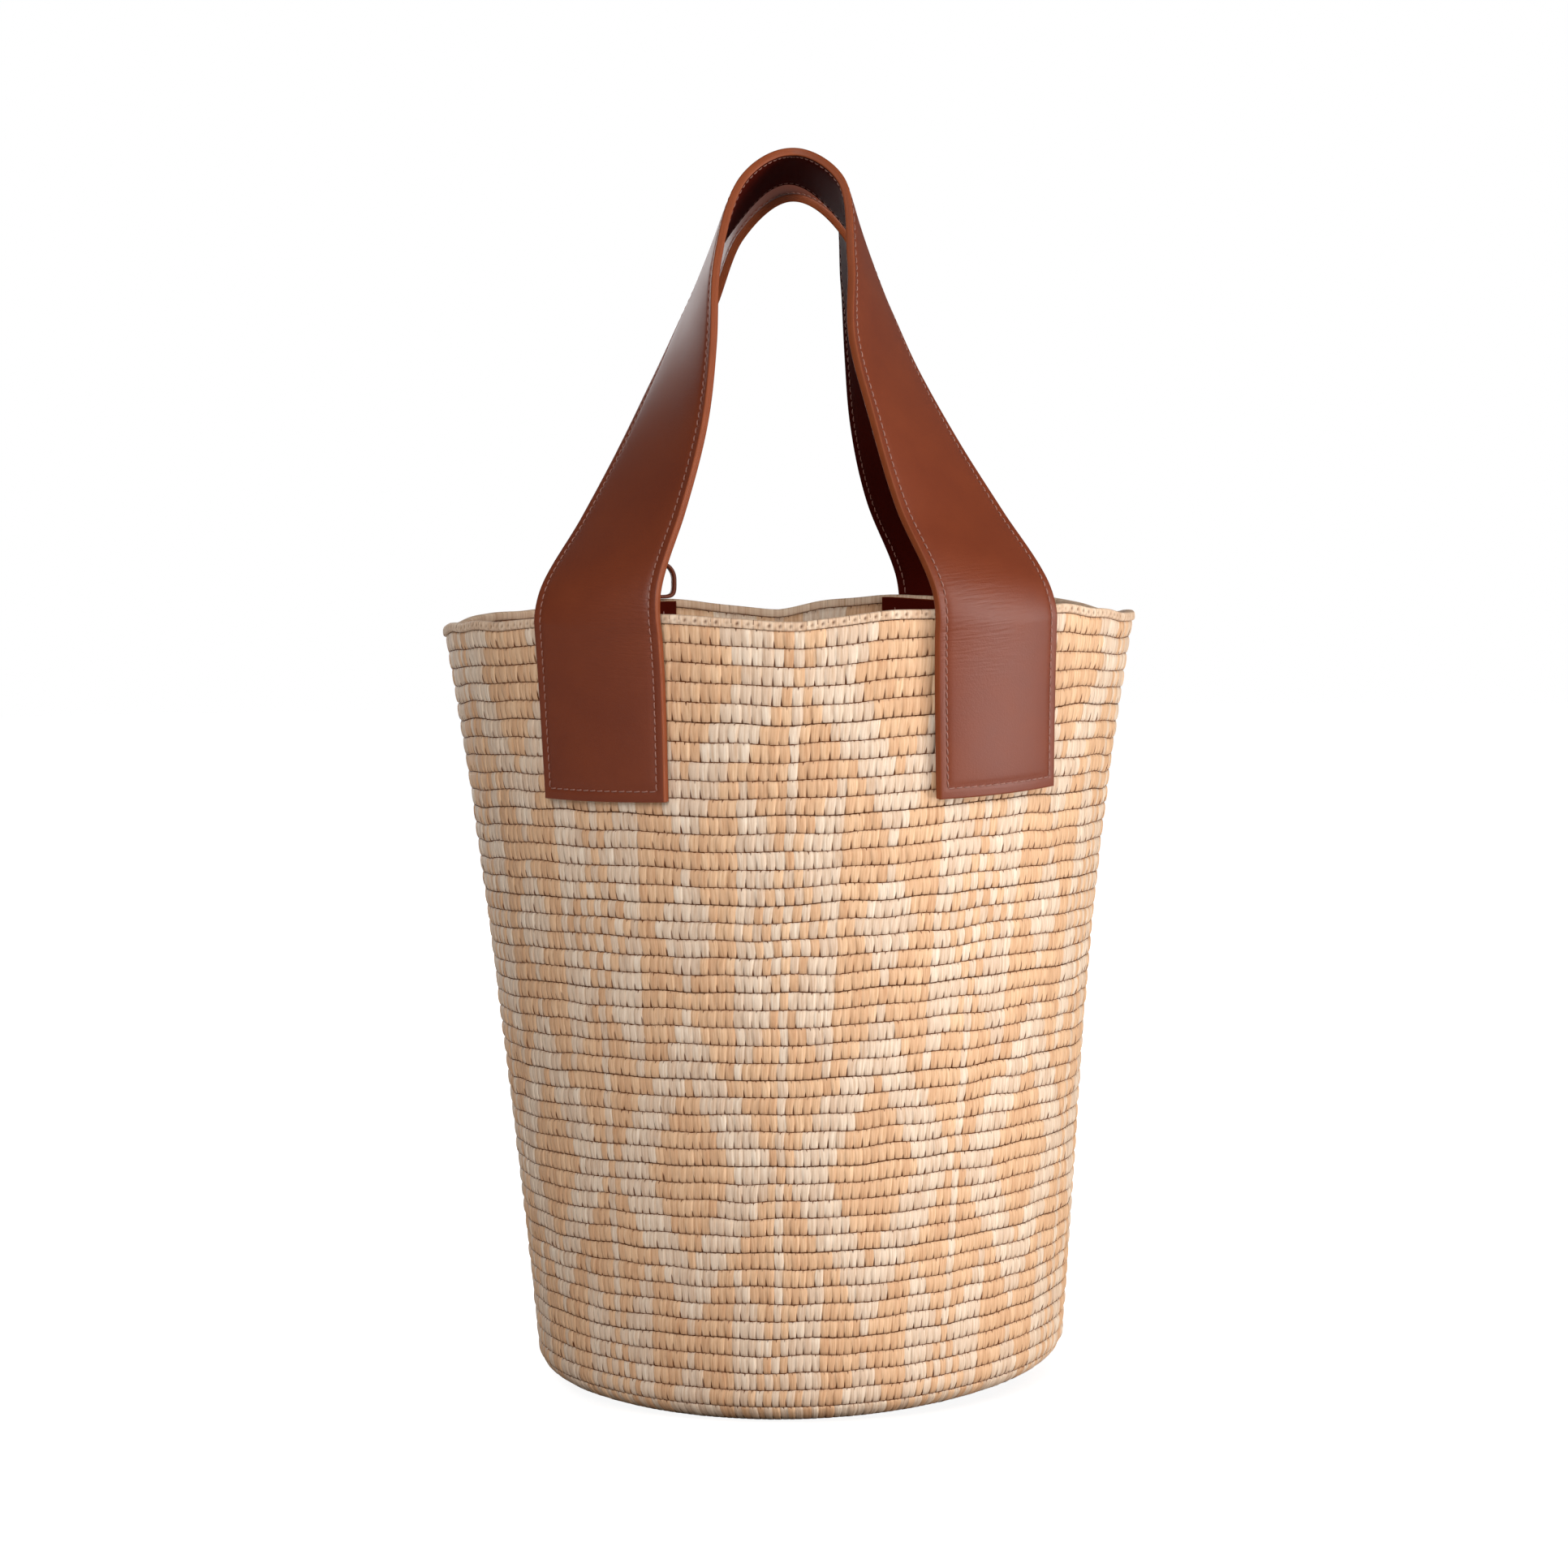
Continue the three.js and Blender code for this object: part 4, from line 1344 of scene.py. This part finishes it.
def crocheted_raffia(body):
    """Flat raffia fibres worked in stitches: matt, streaked along each stitch, with painted shade
    between the stitches and rounds.
    """
    shading = Shading(bpy.data.materials.new("crocheted_raffia"))
    calculate = shading.calculate
    colour = shading.mix(shading.attribute("cream"), body.peach, body.cream)
    # Each stitch is dyed a little lighter or darker
    colour = shading.shade(colour, shading.attribute("tint"), "#EEE3D9", "#FFFDF9")
    # Three or four flat fibres lie side by side in a stitch 4.3 mm wide, others in each round
    across, upward, _ = shading.add("ShaderNodeSeparateXYZ", {0: shading.uv()}).outputs
    shifted = calculate("MULTIPLY_ADD", calculate("FLOOR", upward), FIBRE_SHIFT, across)
    along = shading.stretched(shading.vector(shifted, upward), FIBRE_SCALES)
    fibres = shading.noise(along, 1.0, 3.0, 0.6)
    colour = shading.shade(colour, fibres, "#D6BDA6", ends=(0.3, 0.68), strength=0.75)
    painted_shades = painted_stitch_shade(shading, across, upward)
    # Painted shade: the colour darkens towards the shade colour by the mesh's groove shade and the
    # notches and lines
    colour = shading.mix(calculate("MAXIMUM", shading.attribute("gap"), painted_shades), colour, body.gap)
    normal = shading.bump(calculate("SUBTRACT", fibres, painted_shades), 0.5, FIBRE_RELIEF)
    return shading.finish({"Base Color": colour, "Normal": normal, "Roughness": 0.62,
                           "Specular IOR Level": 0.25})


def grained_leather(name, colour, roughness, gloss):
    """Smooth vegetable tanned cowhide: a fine grain, faint clouds in the dye, a soft gloss."""
    shading = Shading(bpy.data.materials.new(name))
    calculate = shading.calculate
    uv = shading.uv()
    # Clouds in the dye about 25 mm across
    clouds = shading.noise(uv, 40.0, 4.0, 0.55)
    colour = shading.shade(colour, clouds, "#F0E8E4", ends=(0.3, 0.7))
    # Pores and grain cells are about 0.6 mm across
    cells = shading.add("ShaderNodeTexVoronoi", {"Vector": uv, "Scale": 1600.0})
    fine = shading.noise(uv, 900.0, 3.0)
    relief = calculate("MULTIPLY_ADD", cells.outputs["Distance"], 0.6, fine)
    # Creases lie across the strap, about 1 mm apart
    folds = shading.noise(shading.stretched(uv, (90.0, 900.0, 1.0)), 1.0, 2.0)
    folded = calculate("MULTIPLY", folds, shading.attribute("crease"))
    height = calculate("MULTIPLY_ADD", folded, 8.0, relief)
    normal = shading.bump(height, 0.35, GRAIN_RELIEF)
    polish = shading.ranged(clouds, To_Min=roughness - 0.05, To_Max=roughness + 0.06)
    return shading.finish({"Base Color": colour, "Normal": normal, "Roughness": polish,
                           "Specular IOR Level": gloss})


def coated(name, colour, scale, detail, dark, **inputs):
    """A coat whose colour is a little uneven, with a number of clouds to the metre."""
    shading = Shading(bpy.data.materials.new(name))
    places = shading.add("ShaderNodeTexCoord").outputs["Object"]
    colour = shading.shade(colour, shading.noise(places, scale, detail), dark)
    inputs = {key.replace("_", " "): value for key, value in inputs.items()}
    return shading.finish({"Base Color": colour, **inputs})


def edge_paint(strap):
    """Painted edges: a few coats of matt acrylic edge paint, uneven every 8 mm."""
    return coated("edge_paint", strap.edge, 120.0, 2.0, "#E6DDD8", Roughness=0.5,
                  Specular_IOR_Level=0.3)


def waxed_thread(strap):
    """Waxed polyester thread of three plies about 0.3 mm apart; its colour is uneven at about that
    size.
    """
    return coated("waxed_thread", strap.thread_colour, 2600.0, 1.0, "#B9AAA4", Roughness=0.5)


def seamless_paper():
    """White studio paper. It looks white to the camera and still takes the basket's shadow."""
    shading = Shading(bpy.data.materials.new("seamless_paper"))
    seen = shading.add("ShaderNodeLightPath").outputs["Is Camera Ray"]
    glow = shading.calculate("MULTIPLY", seen, 0.92)
    return shading.finish({"Base Color": linear("#D0D0D0"), "Roughness": 0.9,
                           "Emission Color": linear("#FFFFFF"), "Emission Strength": glow})


# Stage

FLOOR_REACHES = np.array([0.002, 0.5, 2.0, 6.0])
FLOOR_STEPS = 96
FLOOR_DROP = 0.0002
FLOOR_THICKNESS = 0.01
SENSOR_WIDTH = 36.0
CLIP_END = 50.0
# Each lamp's name, place, size, share of the power and colour, and the place they all point at
LAMPS = [
    ("key_lamp", (1.75, -1.45, 1.3), 1.2, 0.95, "#FFFDF8"),
    ("side_lamp", (1.85, -0.8, 0.3), 1.1, 0.9, "#FFFEFC"),
    ("front_lamp", (-0.5, -2.3, 1.3), 1.2, 1.8, "#FFFFFF"),
    ("low_lamp", (1.1, -0.5, 0.08), 0.4, 0.27, "#FFFFFF"),
    ("back_lamp", (-0.9, 2.2, 0.5), 1.2, 0.8, "#FFFFFF")]
LAMP_TARGET = np.array([0.0, 0.0, 0.28])


def make_floor():
    """A round floor: one flat disc, a fan of quads between rings."""
    angle = np.arange(FLOOR_STEPS) * FULL_TURN / FLOOR_STEPS
    top = radial(angle)[None] * FLOOR_REACHES[:, None, None]
    top[..., 2] = -FLOOR_DROP
    under = top[::-1] - np.array([0.0, 0.0, FLOOR_THICKNESS])
    points = np.concatenate([top, under])
    made = mesh_object("studio_floor", points, closed_grid(points))
    made.data.materials.append(seamless_paper())


def make_camera(stage):
    """A camera in front of the basket, turned a little round it and looking slightly down."""
    camera = bpy.data.objects.new("camera", bpy.data.cameras.new("camera"))
    camera.data.sensor_width = SENSOR_WIDTH
    camera.data.lens = stage.lens
    camera.data.shift_y = stage.lift
    camera.data.clip_end = CLIP_END
    turn = np.array(stage.turn)
    place = radial(turn) * stage.distance - tangent(turn) * stage.aside
    camera.location = (place[0], place[1], stage.height)
    camera.rotation_euler = (math.pi / 2 - stage.pitch, stage.roll, stage.turn)
    bpy.context.scene.collection.objects.link(camera)
    bpy.context.scene.camera = camera


def make_lamp(name, place, size, power, colour):
    """A square area lamp that points at the middle of the basket."""
    data = bpy.data.lights.new(name, "AREA")
    data.size = size
    data.energy = power
    data.color = linear(colour)[:3]
    lamp = bpy.data.objects.new(name, data)
    lamp.location = place
    x, y, z = LAMP_TARGET - np.array(place)
    upward = math.atan2(z, math.hypot(x, y))
    lamp.rotation_euler = (math.pi / 2 + upward, 0.0, math.atan2(-x, y))
    bpy.context.scene.collection.objects.link(lamp)


def make_world(stage):
    """Pale even surroundings that the camera sees as plain white."""
    shading = Shading(bpy.data.worlds.new("studio"), "Background")
    seen = shading.add("ShaderNodeLightPath").outputs["Is Camera Ray"]
    strength = shading.ranged(seen, To_Min=stage.ambient, To_Max=1.0)
    bpy.context.scene.world = shading.finish({"Color": linear("#FFFFFF"), "Strength": strength})


# Operators


class BASKET_OT_stage(bpy.types.Operator):
    """Set up the floor, the soft light and the camera"""

    bl_idname = "basket.stage"
    bl_label = "Set the Stage"

    def execute(self, context):
        """Makes the camera first, then the light and the floor."""
        stage = context.scene.basket_stage
        make_camera(stage)
        make_world(stage)
        for name, place, size, share, colour in LAMPS:
            make_lamp(name, place, size, share * stage.lamps, colour)
        make_floor()
        context.scene.view_settings.view_transform = "Standard"
        return {"FINISHED"}


class BASKET_OT_body(bpy.types.Operator):
    """Crochet the wall, the base and the edging"""

    bl_idname = "basket.body"
    bl_label = "Crochet the Body"

    def execute(self, context):
        """Works the wall in bands of whole rounds, then the base and the edging."""
        body = context.scene.basket_body
        raffia = crocheted_raffia(body)
        for index in range(body.rounds // ROUNDS_IN_BAND):
            make_wall_band(index, body, raffia)
        make_base(body, raffia)
        make_edging(body, raffia)
        return {"FINISHED"}


class BASKET_OT_straps(bpy.types.Operator):
    """Cut and sew both straps, their patches and the small loop"""

    bl_idname = "basket.straps"
    bl_label = "Sew the Straps"

    def execute(self, context):
        """Sews each strap and its two patches, and then the loop."""
        body, strap = context.scene.basket_body, context.scene.basket_strap
        leather = grained_leather("outer_leather", strap.outer, 0.5, 0.5)
        lining = grained_leather("lining_leather", strap.lining, 0.75, 0.03)
        edge, thread = edge_paint(strap), waxed_thread(strap)
        for side in ("front", "back"):
            make_strap(side, body, strap, leather, lining, edge, thread)
            for hand in ("left", "right"):
                make_patch(side, hand, body, strap, lining, edge, thread)
        make_loop(leather, body)
        return {"FINISHED"}


class BASKET_PT_panel(bpy.types.Panel):
    """Lists the basket's makers in the sidebar"""

    bl_idname = "BASKET_PT_panel"
    bl_label = "Basket"
    bl_space_type = "VIEW_3D"
    bl_region_type = "UI"
    bl_category = "Basket"

    def draw(self, context):
        """Draws one button for each operator."""
        for operator in (BASKET_OT_stage, BASKET_OT_body, BASKET_OT_straps):
            self.layout.operator(operator.bl_idname)


CLASSES = (BodySettings, StrapSettings, StageSettings, BASKET_OT_stage, BASKET_OT_body,
           BASKET_OT_straps, BASKET_PT_panel)
SETTINGS = {"basket_body": BodySettings, "basket_strap": StrapSettings,
            "basket_stage": StageSettings}


def register():
    """Registers the classes and gives the scene their settings."""
    for made in CLASSES:
        bpy.utils.register_class(made)
    for name, group in SETTINGS.items():
        setattr(bpy.types.Scene, name, bpy.props.PointerProperty(type=group))


def unregister():
    """Takes the settings and the classes away again."""
    for name in SETTINGS:
        delattr(bpy.types.Scene, name)
    for made in reversed(CLASSES):
        bpy.utils.unregister_class(made)


def main():
    """Builds the stage and every piece."""
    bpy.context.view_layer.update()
    register()
    bpy.ops.basket.stage()
    bpy.ops.basket.body()
    bpy.ops.basket.straps()


if __name__ == "__main__":
    main()
